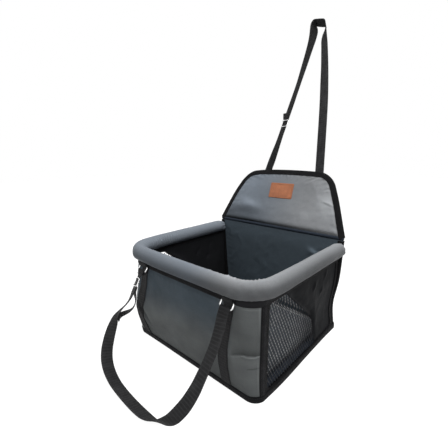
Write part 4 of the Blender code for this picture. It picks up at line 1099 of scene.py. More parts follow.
def build_front_wall():
    outer = front_grid(0.0)
    # Painted light and shade: the tone is the darker slate high up, where the rim's shade falls, and the
    # paler grey lower down and on the lit corner panel.
    tone = [[max(1 - ease(0.075, 0.175, z - 0.05 * x), ease(0.1, 0.15, x)) for x, _, z in row]
            for row in outer]
    runs = np.linalg.norm(np.diff(outer, axis=1), axis=2)
    beyond = np.concatenate([np.cumsum(runs[:, ::-1], axis=1)[:, ::-1], np.zeros((len(runs), 1))], axis=1)
    wear = [[front_painted_light(p[0], p[2], end) for p, end in zip(row, ends)] for row, ends in zip(outer, beyond)]
    wall = cloth_body("front_wall_cloth", outer, WALL_FABRIC * CLOTH_SHARE, "slate", "front_wall", tone=tone,
                      wear=ridges(outer, 400) * 0.5 + np.array(wear))
    cloth_body("front_foam_sheet", front_grid(WALL_FABRIC + GAP), WALL_FOAM * 0.9, "foam", "front_foam")
    inside = front_grid(WALL_FABRIC + WALL_FOAM + 2 * GAP)
    cloth_body("front_lining_cloth", inside, LINING_THICK * CLOTH_SHARE, "lining", "front_lining")


# Band and base

def outward_line(row):
    return [(Vector(p), Vector((p[0], p[1], 0)).normalized()) for p in row]


def build_band():
    grid = []
    for share in spread(0, 1, 8):
        height = mix(BAND_FOOT, WALL_TOP, share)
        inset = -(0.0006 * sin(pi * share) + GAP + BAND_THICK)
        side = side_x(height) - inset
        runs = spread(back_front_y(height) - GAP, 0.006 - SEAM_FROM_MIDDLE, 30)
        line = [Vector((-side, y, height)) for y in runs] + front_plan(height, inset, 14, 40)
        line += [Vector((side, y, height)) for y in reversed(runs)]
        waves = [0.0004 * ripple(p.x * 30, p.y * 30, height * 20) for p in line]
        grid.append([p + Vector((0, 0, wave * (1 - share))) for p, wave in zip(line, waves)])
    grid = np.array(grid)
    cloth_body("rim_band_tape", grid, BAND_THICK * CLOTH_SHARE, "tape", "rim_band", wear=ridges(grid, 1600))
    stitches("rim_band_stitches", [outward_line(grid[1])], "bucket")


def base_loop(inset, height):
    """The bucket's outline near the floor, closed along the back."""
    back = BASE_HALF_DEPTH - inset
    side = side_x(height) - inset
    radius = BASE_BACK_CORNER - inset
    middle_x, middle_y = side - radius, back - radius
    arc = [Vector((middle_x + radius * cos(turn), middle_y + radius * sin(turn), height))
           for turn in spread(0, pi / 2, 6)]
    rise = [Vector((side, y, height)) for y in spread(-SEAM_FROM_MIDDLE, middle_y, 20)[1:-1]]
    rear = [Vector((x, back, height)) for x in spread(middle_x, -middle_x, 24)[1:-1]]
    left = [Vector((-p.x, p.y, height)) for p in reversed(rise + arc)]
    return front_plan(height, inset, 12, 30) + rise + arc + rear + left


def build_base():
    grid = []
    for share in spread(0, 1, 8):
        height = mix(FLOOR_CLEARANCE, FLOOR_CLEARANCE + BASE_TAPE_HEIGHT, share)
        line = base_loop(-(GAP + TAPE_THICK + 0.0008 * sin(pi * share) ** 0.7), height)
        waves = [0.0005 * ripple(p.x * 28, p.y * 28, 3.0) for p in line]
        grid.append([p + Vector((0, 0, wave * share)) for p, wave in zip(line, waves)])
    cloth_body("base_binding_tape", grid, TAPE_THICK * CLOTH_SHARE, "tape", "base_binding", wrap=True)
    top = outward_line(grid[6])
    stitches("base_binding_stitches", [top + top[:1]], "bucket")
    floor_sheet("base_cloth", "base_panel", 0.0, BASE_THICK, 0.0, BASE_HALF_DEPTH, "black_cloth")
    low = WALL_FOOT + BOARD_THICK + GAP
    floor_sheet("base_lining_cloth", "base_lining", low, LINING_THICK, 0.0078, back_front_y(low) - GAP,
                "lining")


def floor_sheet(name, node, low, thick, inset, back, look):
    """A sheet over the bucket's whole floor, in rows from front to back."""
    centre_x, centre_y, radius, sweep = front_corner(low, inset)
    arc = [(centre_y - radius * cos(turn), centre_x + radius * sin(turn))
           for turn in spread(0, sweep, 10)]
    start, side = arc[-1]
    corner = BASE_BACK_CORNER
    rows = arc + [(y, side) for y in spread(start, back - corner, 40)[1:]]
    rows += [(back - corner + corner * sin(turn), side - corner + corner * cos(turn))
             for turn in spread(0, pi / 2, 6)[1:]]
    grid = [[(x, y, low + thick) for x in spread(-half, half, 48)] for y, half in rows]
    cloth_body(name, grid, thick, look, node)


# Sides

NET_TOP = 0.2172 - WINDOW_BORDER + NET_LAP
NET_BACK = back_front_y(0.1) - WINDOW_BORDER + NET_LAP
NET_FRONT = -0.1545
NET_LOW = 0.0145 - NET_LAP + 0.002
GUSSET_FRONT = -0.142


def fold_line(y):
    """Height of the fold where a side's net meets its smooth cloth."""
    return line_height(((GUSSET_FRONT, 0.21), (-0.089, 0.205), (0.04, 0.098), (0.05, 0.086),
                        (0.056, 0.05), (0.064, 0.0125), (0.172, 0.012)), y)


def crease_line(y):
    """Height of the crease that runs down through the net."""
    return line_height(((GUSSET_FRONT, 0.21), (-0.125, 0.197), (0.038, 0.093), (0.056, 0.0815)), y)


def side_inset(y, height):
    """How far a side is drawn in from its plane, in its folds."""
    frame_far = min(y + 0.15, back_front_y(height) - 0.012 - y, height - 0.014, 0.205 - height)
    off = (height - crease_line(y)) * 0.84
    in_net = 1 - ease(0.04, 0.058, y)
    soft = 0.0085 * bell(off, 0.0036) - 0.0024 * bell(off + 0.009, 0.006)
    soft = in_net * ease(-0.15, -0.12, y) * (soft + 0.005 * bell(off - 0.004, 0.02))
    seam = (height - fold_line(y)) * 0.84
    soft += 0.003 * bell(seam - 0.006, 0.006) * ease(-0.1, -0.06, y) * in_net
    edge = y - mix(0.062, 0.046, height / 0.1)
    soft += 0.0042 * bell(edge - 0.004, 0.006) * (1 - ease(0.085, 0.11, height))
    soft += 0.004 * bell(y - 0.015, 0.03) * bell(height - 0.04, 0.03)
    soft += 0.0012 * ripple(y * 16, height * 16, 9.0)
    soft += 0.004 * bell(y - 0.1, 0.05) * bell(height - 0.1, 0.05)
    for dent_y, dent_z, long in ((0.097, 0.189, 0.013), (0.082, 0.147, 0.008), (0.041, 0.172, 0.01)):
        soft -= 0.0026 * bell(y - dent_y - 0.35 * (height - dent_z), 0.006) * bell(height - dent_z, long)
    return soft * ease(0.0, 0.03, frame_far)


def side_place(sign, y, height, depth):
    return Vector((sign * (side_x(height) - depth - side_inset(y, height)), y, height))


def build_side(side, sign):
    loops = []
    for share in spread(0, 1, 6):
        step, arch = WINDOW_BORDER * share, sin(pi * share)
        low, high, front = WALL_FOOT + step, WALL_TOP - step, SIDE_FRONT_PLAY - SEAM_FROM_MIDDLE + step
        corners = ((front, low), (back_front_y(low) - step, low), (back_front_y(high) - step, high),
                   (front, high))
        row = []
        for p in divided(rounded_outline(corners, mix(0.002, 0.01, share), 6), 0.08, 36):
            puff = 0.0007 * arch + 0.0005 * ease(0.72, 0.9, share)
            puff += 0.0004 * ripple(p.x * 45, p.y * 45, 4.0) * arch
            row.append((sign * (side_x(p.y) + puff), p.x, p.y))
        loops.append(row)
    cloth_body(side + "_side_border", loops, SIDE_THICK * CLOTH_SHARE, "tape", side + "_side_panel",
               wrap=True)
    seam = [(Vector(p) + Vector((sign * 0.0002, 0, 0)), Vector((sign, 0, 0))) for p in loops[4]]
    stitches(side + "_side_stitches", [seam + seam[:1]], "bucket")

    grid = []
    for y in spread(GUSSET_FRONT, NET_BACK, 120):
        line = [(height, SIDE_THICK + GAP - 0.0002 + 0.0003 * ripple(y * 30, height * 30, 2.0))
                for height in spread(fold_line(y) - 0.003, NET_TOP, 80)]
        grid.append([side_place(sign, y, height, depth) for height, depth in line])
    grid = np.array(grid)
    cloth_body(side + "_gusset_cloth", grid, 0.0008, "black_cloth", wear=ridges(grid, 160))
    build_net(side, sign)


def build_net(side, sign):
    """The knitted net of a side: threads that run zigzag from knot to knot."""
    pitch_y, pitch_z, thread_radius = 0.0086, 0.0084, 0.00056
    # The crossing threads are in painted shade, at 0.22 of the rising threads' light.
    shine = {True: 1.0, False: 0.22}
    points, faces, shade = [], [], []

    def inside(y, height):
        top = min(NET_TOP, fold_line(y) + 0.002) if y > GUSSET_FRONT else NET_TOP
        return NET_FRONT <= y <= NET_BACK and NET_LOW <= height <= top

    def thread(a, b, bright):
        """A square thread between two knots, with a painted highlight halfway."""
        out = Vector((sign, 0, 0))
        up = (b - a).normalized().cross(out).normalized()
        start = len(points)
        size = thread_radius * (1.0 if bright else 0.8)
        for share in (0.0, 0.5, 1.0):
            end = a.lerp(b, share) + out * 0.0005 * (1 - abs(2 * share - 1)) * (1 if bright else -1)
            # Painted light: threads paler above the lower part, in painted shade towards the back and at the
            # front edge, palest halfway, and dark on their inner faces.
            light = 0.1 + 0.9 * ease(0.036, 0.068, end.z)
            light *= (1 - 0.7 * ease(-0.04, 0.03, end.y)) * ease(-0.165, -0.145, end.y)
            light *= 0.8 + 0.35 * ripple(end.y * 60, end.z * 60, 1.0)
            light *= (1.0 if share == 0.5 else 0.25) * shine[bright]
            for du, do in ((1, 0.8), (-1, 0.8), (-1, -0.8), (1, -0.8)):
                points.append(end + (up * du + out * do) * size)
                shade.append(light * (1.0 if do > 0 else 0.1))
        for low in (start, start + 4):
            faces.extend((low + k, low + (k + 1) % 4, low + 4 + (k + 1) % 4, low + 4 + k) for k in range(4))
        faces.append((start + 3, start + 2, start + 1, start))
        faces.append((start + 8, start + 9, start + 10, start + 11))

    for row in range(int((NET_TOP - NET_LOW) / pitch_z)):
        for column in range(int((NET_BACK - NET_FRONT) / pitch_y * 2)):
            rise = pitch_z / 2 if (column + row) % 2 else -pitch_z / 2
            base, y = NET_LOW + row * pitch_z, NET_FRONT + column * pitch_y / 2
            ends = ((y, base + rise), (y + pitch_y / 2, base - rise))
            if all(inside(*end) for end in ends):
                sway = 0.0006 * ripple(y * 50, ends[0][1] * 50, 6.0)
                thread(*(side_place(sign, y, z + sway, SIDE_THICK + 2 * GAP + 0.0008) for y, z in ends),
                       rise > 0)
    place(make_object(side + "_net", points, faces, "net", smooth=False, shade=shade), "bucket",
          side + "_mesh")


def build_corner_tapes():
    lines = []
    outset, half = GAP + TAPE_THICK, SEAM_TAPE_WIDTH / 2
    for side, sign in (("left", -1), ("right", 1)):
        grid = []
        for height in spread(TAPE_FOOT, BAND_FOOT - GAP, 60):
            centre_x, centre_y, radius, sweep = front_corner(height, -outset)
            row = []
            for step in spread(-half, half, 10):
                puff = 0.0009 * cos(pi * step / SEAM_TAPE_WIDTH)
                puff += 0.0004 * ripple(step * 60, height * 40, sign)
                if step <= 0:
                    turn = sweep + step / radius
                    normal = Vector((sign * sin(turn), -cos(turn), 0))
                    spot = (sign * (centre_x + radius * sin(turn)), centre_y - radius * cos(turn))
                else:
                    normal = Vector((sign, 0, 0))
                    spot = (sign * (side_x(height) + outset), step - SEAM_FROM_MIDDLE)
                row.append(Vector((*spot, height)) + normal * puff)
            grid.append(row)
        grid = np.array(grid)
        cloth_body(side + "_corner_tape", grid, TAPE_THICK * CLOTH_SHARE, "tape", side + "_corner_binding",
                   inward=sign, wear=0.8 * np.tile(np.exp(-((np.arange(11) - 5) / 2.0) ** 2), (61, 1)))
        normals = grid_normals(grid) * sign
        lines += [[(Vector(p), Vector(n)) for p, n in zip(grid[:, column], normals[:, column])]
                  for column in (2, 8)]
    stitches("corner_stitches", lines, "bucket")


# Back wall and backrest

def binding_body(name, edges, point_at, body, node):
    """Folded tape along an edge line; edges are (point, inward direction) pairs in the panel's plane."""
    nose, thin = 0.0022, TAPE_THICK * CLOTH_SHARE
    rings, rows = [], ([], [])
    for index, (edge, inward) in enumerate(edges):
        from_end = min(index, len(edges) - 1 - index)
        puff = (0.0004 + 0.0004 * ripple(edge.x * 90, edge.y * 90, 3.0)) * ease(0, 3, from_end)
        half = BOUND_HALF_THICK + puff
        leg = TAPE_LEG + 0.0007 * ripple(edge.x * 45, edge.y * 45, 8.0)
        skin = [(leg, -half), (leg * 0.6, -half * 1.03), (nose, -half)]
        skin += [(nose - nose * cos(turn), mix(-half, half, 0.5 + 0.5 * sin(turn)))
                 for turn in spread(-pi / 2, pi / 2, 8)[1:-1]]
        skin += [(nose, half), (leg * 0.6, half * 1.03), (leg, half), (leg, half - thin),
                 (nose, half - thin), (nose, thin - half), (leg, thin - half)]
        rings.append([point_at(edge + inward * depth, out) for depth, out in skin])
        if from_end > 1:
            seam = edge + inward * (leg - 0.0028)
            for row, sign in zip(rows, (-1, 1)):
                point, beyond = (point_at(seam, sign * (half + more)) for more in (0, 0.01))
                row.append((point, (beyond - point).normalized()))
    loft_body(name, rings, "tape", body, node, sharp=50)
    return rows


def back_half_width(down):
    return mix(BACK_HALF_WIDTH_TOP, BACK_HALF_WIDTH_LOW, down / BACK_LENGTH)


def back_sheet(name, node, look, out_sign):
    """One skin of the back wall, or its board."""
    board = look == "board"
    face = BOARD_THICK / 2 if board else out_sign * BACK_HALF_THICK
    top = BACK_HALF_THICK + GAP + 0.0015
    foot = BACK_LENGTH - (WALL_FOOT + GAP) / cos(BACK_TILT)
    grid = []
    for down in spread(top + 0.01 * board, foot, 70):
        half = back_half_width(down) - (BACK_BOARD_INSET if board else SKIN_INSET)
        row = []
        for x in spread(-half, half, 90):
            edge = min(half - abs(x), down - top, foot - down)
            wave = 0.001 * ripple(x * 12, down * 12, 3.0 * out_sign) + 0.0004
            pucker = sin(down * 330 + 4 * ripple(down * 22, x * 4, 2.0))
            wave += 0.0006 * pucker * bell(half - abs(x) - 0.022, 0.014) + 0.0002
            wave += 0.0012 * bell(ripple(x * 6 + down * 3, down * 5, 9.0), 0.1)
            wave += 0.0022 * bell(x - 0.134, 0.02) * bell(down - 0.052, 0.008) * (out_sign < 0)
            row.append(back_point(x, down, face + out_sign * wave * ease(0.01, 0.035, edge) * (not board)))
        grid.append(row)
    grid = np.array(grid)
    wear = ridges(grid, 300)
    # Painted light on the lining: a highlight streak near the top at the right, and paler towards the top.
    if out_sign < 0:
        wear += [[4.5 * bell(x - 0.136 + 1.2 * (z - 0.208), 0.011) * bell(z - 0.208, 0.01)
                  + 0.5 * ease(0.19, 0.26, z) for x, _, z in row] for row in grid]
    thick = BOARD_THICK if board else SKIN_THICK * CLOTH_SHARE
    cloth_body(name, grid, thick, look, node, inward=out_sign, wear=wear)


def build_back_wall():
    back_sheet("back_cloth", "back_cover", "black_cloth", 1)
    back_sheet("back_lining_cloth", "back_lining", "slate", -1)
    back_sheet("back_board_sheet", "back_board", "board", 1)
    rows = []
    for side, sign in (("left", -1), ("right", 1)):
        edges = [(Vector((sign * back_half_width(down), down)), Vector((-sign, 0)))
                 for down in spread(TAPE_START, BACK_LENGTH - 0.015, 60)]
        rows += binding_body(side + "_back_tape", edges, lambda p, out: back_point(p.x, p.y, out),
                             "bucket", side + "_back_binding")
    stitches("back_stitches", rows, "bucket")


def build_fold_seam():
    """The piped seam on the hinge, a soft roll of cloth with small puckers."""
    rings = []
    half = 0.21
    for x in spread(-half, half, 150):
        pucker = 1 + 0.06 * sin(x * 520 + 4 * ripple(x * 12, 1.0))
        pucker += 0.05 * ripple(x * 60, 5.0)
        radius = 0.0047 * pucker * (1 - 0.4 * ease(half - 0.004, half, abs(x)))
        rings.append([(x, HINGE_BACK + radius * cos(turn), HINGE_HEIGHT + radius * sin(turn))
                      for turn in turns(16)])
    loft_body("fold_piping", rings, "lining", "bucket", "fold_seam")


def cover_bumps(x, up, half):
    """How far the backrest's front cloth stands out: puckers at its bound edge and soft folds."""
    from_edge = min(half - abs(x), BACKREST_LENGTH - up)
    soft = 0.0014 * ripple(x * 9, up * 12, 2.5) + 0.0005 * ripple(x * 34, up * 34, 7.0)
    soft += 0.0014
    pucker = sin(atan2(up - 0.06, x) * 46 + 5 * ripple(x * 22, up * 22, 1.0))
    soft += 0.0008 * pucker * bell(from_edge - 0.018, 0.011)
    away = Vector((x - 0.138, up - 0.084))
    off = away.dot(Vector((0.27, 0.96)))
    reach = between(-0.01, 0.01, 0.03, 0.045, away.dot(Vector((0.96, -0.27))))
    soft += (0.0016 * bell(off - 0.004, 0.004) - 0.0012 * bell(off, 0.002)) * reach
    soft += 0.0022 * bell(x + 0.118, 0.045) * bell(up - 0.054, 0.012)
    soft += 0.0016 * bell(up - 0.012, 0.008) * (0.6 + 0.4 * ripple(x * 20, 3.0))
    soft -= 0.0008 * bell(up - 0.03, 0.01) * (0.5 + 0.5 * ripple(x * 8, 6.0))
    flat = bell(x, 0.04) * bell(up - 0.109, 0.03)
    return soft * ease(0.012, 0.02, from_edge) * ease(0.0, 0.006, up - 0.004) * (1 - 0.85 * flat)


def cover_painted_light(x, up):
    """Painted highlights and painted shade on the backrest's satin cloth: paler overall, painted highlights
    at the right, the upper left and in two slanting bands, painted shade low at the left and towards the
    fold, and a random mottle.
    """
    level = 0.8 + 1.3 * bell(x - 0.158, 0.036) * bell(up - 0.085, 0.045)
    level += 0.7 * bell(x + 0.13, 0.05) * bell(up - 0.12, 0.04)
    level += 0.5 * bell(x - 0.1 - 0.5 * (up - 0.045), 0.022) * bell(up - 0.045, 0.016)
    level += 1.1 * bell(x + 0.105 + 0.8 * (up - 0.066), 0.034) * bell(up - 0.066 + 0.2 * (x + 0.105), 0.012)
    level -= 0.9 * bell(x + 0.1, 0.06) * bell(up - 0.04, 0.012)
    level -= 1.3 * (1 - ease(0.002, 0.02, up))
    level += 0.55 * ease(-0.004, 0.006, x - 0.105 - 0.55 * (0.12 - up)) * bell(up - 0.1, 0.05)
    level -= 1.6 * (1 - ease(-0.006, 0.044, up + 0.13 * x))
    return level + 0.35 * ripple(x * 7, up * 16, 4.0)


def backrest_sheet(name, node, look, inset):
    """One skin of the backrest, or its board."""
    front, board = look == "grey", look == "board"
    edge = backrest_edge(inset, 22)
    rows = [edge[0].lerp(edge[1], share) for share in spread(0, 1, 46)[:-1]] + edge[1:]
    if board:
        rows = [row for row in rows if row.y > 0.014]
    grid = []
    for half, up in rows:
        row = []
        for x in spread(-half, half, 110):
            if front:
                out = -(BACK_HALF_THICK + cover_bumps(x, up, half))
            else:
                wave = (0.0006 + 0.0008 * ripple(x * 11, up * 11, 12.0)) * (not board)
                wave *= ease(0.012, 0.03, min(half - abs(x), BACKREST_LENGTH - up, up))
                out = (BOARD_THICK / 2 if board else BACK_HALF_THICK) + wave
            row.append(backrest_point(x, up, out))
        grid.append(row)
    grid = np.array(grid)
    wear = ridges(grid, 300)
    if front:
        # Painted highlights and painted shade on the front cloth's satin face.
        wear += [[cover_painted_light(p[0], up) for p in row] for row, (_, up) in zip(grid, rows)]
    # Painted shade: the grey front cloth turns a darker, cooler grey towards the left; only it has a second
    # tone.
    tone = [[1 - ease(-0.1, 0.1, p[0]) for p in row] for row in grid]
    cloth_body(name, grid, BOARD_THICK if board else SKIN_THICK * CLOTH_SHARE, look, node, "backrest",
               inward=1 if front else -1, wear=wear, tone=tone)


def build_backrest():
    backrest_sheet("backrest_front_cloth", "backrest_cover", "grey", SKIN_INSET)
    backrest_sheet("backrest_back_cloth", "backrest_back", "black_cloth", SKIN_INSET)
    backrest_sheet("backrest_board_sheet", "backrest_board", "board", BACKREST_BOARD_INSET)
    edge = [p.to_3d() for p in backrest_edge(0.0, 24)] + [Vector((0, BACKREST_LENGTH, 0))]
    half_line = [p.to_2d() for p in evenly(edge, 0.004)]
    half_line[0].y = TAPE_START
    line = half_line + [Vector((-p.x, p.y)) for p in reversed(half_line[:-1])]
    edges = [(point, Vector((-ahead.y, ahead.x))) for point, ahead in zip(line, tangents(line))]
    rows = binding_body("backrest_tape", edges, lambda p, out: backrest_point(p.x, p.y, out),
                        "backrest", "backrest_binding")
    stitches("backrest_stitches", rows, "backrest")


def build_label():
    """A bare leather patch with rounded edges, sewn round."""
    rings = []
    layers = ((0.0, 0.0), (0.0, 0.6), (0.0004, 0.9), (0.0011, 1.05), (0.003, 1.1), (0.0045, 0.98),
              (0.006, 1.06))
    for inset, height in layers:
        corners = rectangle(LABEL_WIDTH / 2 - inset, LABEL_HEIGHT / 2 - inset)
        outline = divided(rounded_outline(corners, max(0.003 - inset, 0.0006), 5), 0.02, 12)
        lift = BACK_HALF_THICK + GAP + LABEL_THICK * height
        rings.append([backrest_point(p.x, LABEL_FROM_HINGE + p.y,
                                     -(lift + 0.0004 * ripple(p.x * 50, p.y * 50, 2.0)))
                      for p in outline])
    loft_body("label_leather", rings, "leather", "backrest", "label_patch",
              wear=[[0.7 * bell(inset, 0.0012)] * len(rings[0]) for inset, _ in layers])
    sewn = [(p, BACKREST_FRONT) for p in rings[5]]
    stitches("label_stitches", [sewn + sewn[:1]], "backrest", 0.0032, 0.0023, 0.0003)


# Rim

def rim_line():
    turn_x, turn_y = RIM_HALF_WIDTH - RIM_CORNER, RIM_CORNER - RIM_FRONT
    right = [Vector((RIM_HALF_WIDTH, 0.1636, RIM_HEIGHT))]
    right += [Vector((turn_x + RIM_CORNER * cos(turn), turn_y - RIM_CORNER * sin(turn),
                      RIM_HEIGHT)) for turn in spread(0, pi / 2, 24)]
    return evenly(right + [Vector((-p.x, p.y, p.z)) for p in reversed(right)], 0.0028)


def rim_crinkle(point, s, turn):
    """Shares of the crinkled places at the near corner and inside the left side, and their waves."""
    flat = Vector((point.x, point.y))
    near = bell((flat - Vector((0.148, -0.188))).length, 0.072) * max(cos(turn - 1.0), 0) ** 3
    left = bell((flat - Vector((-0.205, -0.095))).length, 0.055) * max(cos(turn - 0.2), 0) ** 2
    wave = sin(s * 820 + 3.5 * ripple(s * 40, turn * 1.5, 1.0))
    return near, left, wave * (0.6 + 0.8 * ripple(s * 55, turn * 2, 5.0))


def rim_radius(point, s, from_end, turn):
    """The roll's radius, with wrinkles inside its corners, soft bulges and gathered ends."""
    taper = mix(RIM_END_RADIUS, RIM_RADIUS, ease(-0.004, RIM_TAPER, from_end))
    corner = bell(Vector((abs(point.x) - 0.188, point.y + 0.178)).length, 0.035)
    wrinkle = sin(s * 700 + 3.2 * ripple(s * 30, turn * 1.5, 1.0))
    slant = sin(s * 260 + turn * 2.0 + 4 * ripple(s * 14, turn, 4.0))
    near, left, wave = rim_crinkle(point, s, turn)
    ring = 0.0009 * corner * (0.5 + 0.5 * cos(turn)) * wrinkle + (0.0026 * near + 0.002 * left) * wave
    ring += 0.006 * max(-sin(turn), 0) * (1 - ease(0.0, RIM_TAPER, from_end))
    ring += 0.0002 * slant * (0.3 + 0.7 * corner)
    ring += 0.0008 * noise.noise(Vector((s * 14, cos(turn) * 1.2, sin(turn) * 1.2)))
    ring += 0.0013 * bell(from_end - 0.006, 0.01) * sin(turn * 9 + 2 * ripple(s * 60, turn, 3.0))
    return taper + ring + 0.0008


def rim_painted_light(middle, turn, right):
    """Painted light on the sleeve at a turn round the roll: a painted highlight on top and painted shade
    underneath, paler crinkles at the near corner as painted highlights, and painted shade in the wrinkles
    inside the left side.
    """
    near, left, wave = rim_crinkle(middle, middle.x - middle.y, turn)
    level = mix(1.0, 1.8, right) * sin(turn + 0.6) - mix(0.1, 0.42, right)
    level = max(level, -0.85 + 0.5 * ease(3.4, 4.2, turn))
    return level + 0.9 * near - 0.9 * left * (0.6 - 0.7 * wave)


def ring_ridges(grid, strength):
    """Ridges of rings that are closed round a line, which the looks make paler."""
    middle = grid.copy()
    for _ in range(6):
        middle[1:-1] = (middle[:-2] + middle[2:] + np.roll(middle, 1, 1)[1:-1]
                        + np.roll(middle, -1, 1)[1:-1]) / 4
    away = grid - grid.mean(axis=1, keepdims=True)
    away /= np.maximum(np.linalg.norm(away, axis=2, keepdims=True), 1e-9)
    lift = ((grid - middle) * away).sum(axis=2)
    return np.clip((lift - lift.mean()) * strength, 0, 1)


def build_rim():
    line = rim_line()
    stations = stations_of(line)
    up = Vector((0, 0, 1))
    sides = 44
    turned = turns(sides)
    grid = []
    for centre, s, ahead in zip(line, stations, tangents(line)):
        inward = ahead.cross(up).normalized()
        if inward.dot(Vector((0, -0.05, 0)) - Vector((centre.x, centre.y, 0))) < 0:
            inward = -inward
        from_end = min(s, stations[-1] - s)
        grid.append([centre + rim_radius(centre, s, from_end, turn)
                     * (cos(turn) * inward + sin(turn) * up) for turn in turned])
    for end in (0, -1):
        ring = grid[end]
        centre = sum(ring, Vector()) / sides
        for share, back in ((0.72, 0.0003), (0.42, 0.0004), (0.16, 0.0004)):
            closed = [centre.lerp(p, share) + Vector((0, back, 0)) for p in ring]
            grid.insert(len(grid) * -end, closed)
    grid = np.array(grid)
    level, tone = [], []
    for row in grid:
        middle = Vector(row.mean(axis=0))
        right = ease(0.03, 0.16, middle.x)
        # Painted light: the right back of the roll is paler.
        lit_behind = 0.4 * ease(0.02, 0.16, row[0][1]) * (row[0][0] > 0)
        level.append([rim_painted_light(middle, turn, right) + lit_behind for turn in turned])
        # Painted shade: the sleeve turns a darker, cooler grey towards the left.
        tone.append([0.85 * (1 - right)] * sides)
    middles = grid.mean(axis=1, keepdims=True)
    foam = (middles + (grid - middles) * 0.92)[3:-3]
    cloth_body("rim_foam_roll", foam, 0.006, "foam", "rim_foam", wrap=True, inward=-1)
    sleeve = cloth_body("rim_sleeve_cloth", grid, SLEEVE_THICK * CLOTH_SHARE, "grey", "rim_sleeve",
                        wrap=True, inward=-1, wear=np.array(level) + 0.8 * ring_ridges(grid, 700), tone=tone)


# Cushion

def evaluated(made):
    return bpy.data.meshes.new_from_object(made.evaluated_get(bpy.context.evaluated_depsgraph_get()))


def fill(made, held):
    """Blows the cushion up as cloth that is held where it is sewn."""
    made.vertex_groups.new(name="sewn").add(held, 1.0, "REPLACE")
    settings = made.modifiers.new("filling", "CLOTH").settings
    settings.use_pressure = True
    settings.uniform_pressure_force = 4.0
    settings.mass = 0.25
    settings.tension_stiffness = 12
    settings.bending_stiffness = 0.15
    settings.effector_weights.gravity = 0
    settings.vertex_group_mass = "sewn"
    for number in range(1, 21):
        bpy.context.scene.frame_set(number)
    shaped = evaluated(made)
    made.modifiers.clear()
    made.data = shaped
    bpy.context.scene.frame_set(1)


def build_cushion():
    """A filled cushion: blown up as cloth, then drawn in along its sewn channels."""
    half = CUSHION_HALF_WIDTH - BORDER_INSET
    front, back = -CUSHION_FRONT + BORDER_INSET, CUSHION_BACK - BORDER_INSET
    columns, rows = 72, 66
    border_height, slack, channel_half = 0.013, 0.006, 0.0026
    low = FLOOR_LEVEL + GAP
    middle = low + border_height
    edit = bmesh.new()
    layers = []
    for sign in (1, -1):
        layer = []
        for row in range(rows + 1):
            line = []
            for column in range(columns + 1):
                if sign < 0 and (row in (0, rows) or column in (0, columns)):
                    line.append(layers[0][row][column])
                    continue
                u, v = 2 * column / columns - 1, 2 * row / rows - 1
                cut = 1 - 0.05 * abs(u * v) ** 6
                y = mix(front, back, (v + 1) / 2 * cut + (1 - cut) / 2)
                puff = (1 - u ** 8) * (1 - v ** 8)
                line.append(edit.verts.new((half * u * cut, y, middle + sign * slack * puff)))
            layer.append(line)
        layers.append(layer)
    top = layers[0]
    border = top[0][:-1] + [line[-1] for line in top[:-1]] + top[-1][:0:-1]
    border = [vert.co.copy() for vert in border + [line[0] for line in top[:0:-1]]]
    for layer in layers:
        for here, after in zip(layer, layer[1:]):
            for column in range(columns):
                edit.faces.new((here[column], here[column + 1], after[column + 1], after[column]))
    bmesh.ops.recalc_face_normals(edit, faces=edit.faces)
    mesh = bpy.data.meshes.new("seat_cushion_cloth")
    edit.to_mesh(mesh)
    edit.free()
    made = add_object("seat_cushion_cloth", mesh)
    channels = [mix(front, back, share) for share in (1 / 3, 2 / 3)]
    fill(made, [v.index for v in mesh.vertices if min(abs(v.co.y - y) for y in channels) < channel_half
                or min((v.co - p).length for p in border) < 0.001])
    crown = CUSHION_CROWN + low
    for vertex in made.data.vertices:
        co = vertex.co
        co.x = max(min(co.x, CUSHION_HALF_WIDTH), -CUSHION_HALF_WIDTH)
        co.y = max(min(co.y, CUSHION_BACK), -CUSHION_FRONT)
        if co.z > middle:
            edge = min(CUSHION_HALF_WIDTH - abs(co.x), co.y + CUSHION_FRONT, CUSHION_BACK - co.y)
            share = ease(0, 0.03, edge)
            dip = max(bell(co.y - y, 0.007) for y in channels)
            want = mix(mix(middle, crown, share), mix(middle, crown, 0.35), dip)
            co.z = max(min(mix(co.z, want, 0.8), low + 0.04), low)
            co.z += 0.0012 * ripple(co.x * 30, co.y * 30, 2.0) * share
        else:
            co.z = mix(max(co.z, low), low, 0.8)
    made.data.materials.append(LOOKS["cushion"][0])
    made.data.shade_smooth()
    layer = made.data.uv_layers.new(name="UVMap")
    for loop in made.data.loops:
        co = made.data.vertices[loop.vertex_index].co
        layer.data[loop.index].uv = (co.x, co.y + co.z)
    finer = made.modifiers.new("finer", "SUBSURF")
    finer.levels = finer.render_levels = 1
    final = evaluated(made)
    made.modifiers.clear()
    made.data = final
    place(made, "cushion", "seat_cushion")
    tube_body("cushion_piping", evenly(border, 0.004, closed=True), 0.0022, "cushion", "cushion", sides=10,
              closed=True)


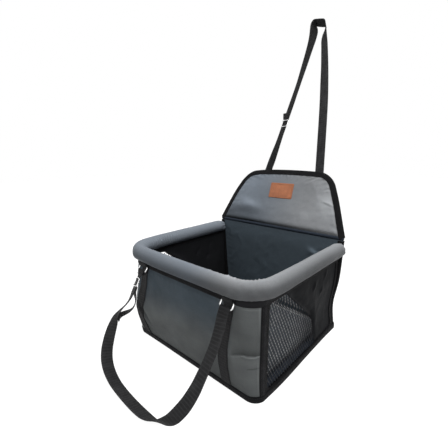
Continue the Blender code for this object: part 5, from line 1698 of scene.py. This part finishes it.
# Sagging of the bucket's cloth: where each place is, how far it reaches and how it moves
SAGS = (
    ((-0.188, -0.18, 0.075), (0.06, 0.06, 0.05), (-0.0088, -0.0088, 0)),
    ((-0.19, -0.178, 0.235), (0.055, 0.055, 0.03), (0.008, 0.008, 0)),
    ((0.194, -0.178, 0.235), (0.038, 0.05, 0.03), (0, 0, 0.0042)),
    ((-0.15, 0.222, 0.406), (0.05, 0.04, 0.045), (0.006, -0.003, -0.007)),
    ((0.15, 0.222, 0.406), (0.05, 0.04, 0.045), (-0.003, 0, -0.003)),
    ((0.0, 0.228, 0.42), (0.09, 0.03, 0.03), (0, 0.0008, 0.0022)),
    ((0.2, 0.17, 0.07), (0.06, 0.08, 0.055), (-0.01, 0, 0)),
    ((0.2, -0.1, 0.0), (0.05, 0.1, 0.03), (0.0045, 0, 0)),
)
# Pieces whose names start like this keep their cut shape
STIFF = ("carry_", "headrest_", "left_ring", "right_ring", "left_loop", "right_loop", "base_cloth",
         "base_lining", "fold_", "label_", "cushion_")


def settle():
    """The bucket's cloth has sagged by up to about 12 mm from its cut shape, all layers together."""
    for made in PIECES:
        if made.name.startswith(STIFF):
            continue
        places = np.zeros(len(made.data.vertices) * 3)
        made.data.vertices.foreach_get("co", places)
        places = places.reshape(-1, 3)
        shift = np.zeros(places.shape)
        for centre, reach, move in SAGS:
            near = np.exp(-(((places - np.array(centre)) / np.array(reach)) ** 2).sum(axis=1))
            shift += near[:, None] * np.array(move)
        made.data.vertices.foreach_set("co", (places + shift).ravel())
        made.data.update()


def dress_cad_nodes():
    """Own materials for the nodes that stay as they are; a slot's first look is its main one."""
    look_of = {slot: look for look, slot in reversed(list(LOOKS.values()))}
    for entry in frame["record"]["subparts"]:
        materials = NODES[entry["node"]].data.materials
        materials.clear()
        materials.append(look_of[entry["material_slot"]])


make_camera()
make_studio()
dress_cad_nodes()
build_carry_strap()
build_headrest_strap()
build_front_wall()
build_band()
build_base()
build_corner_tapes()
build_side("left", -1)
build_side("right", 1)
build_front_webbing()
build_back_wall()
build_fold_seam()
build_backrest()
build_label()
build_rim()
build_cushion()
settle()
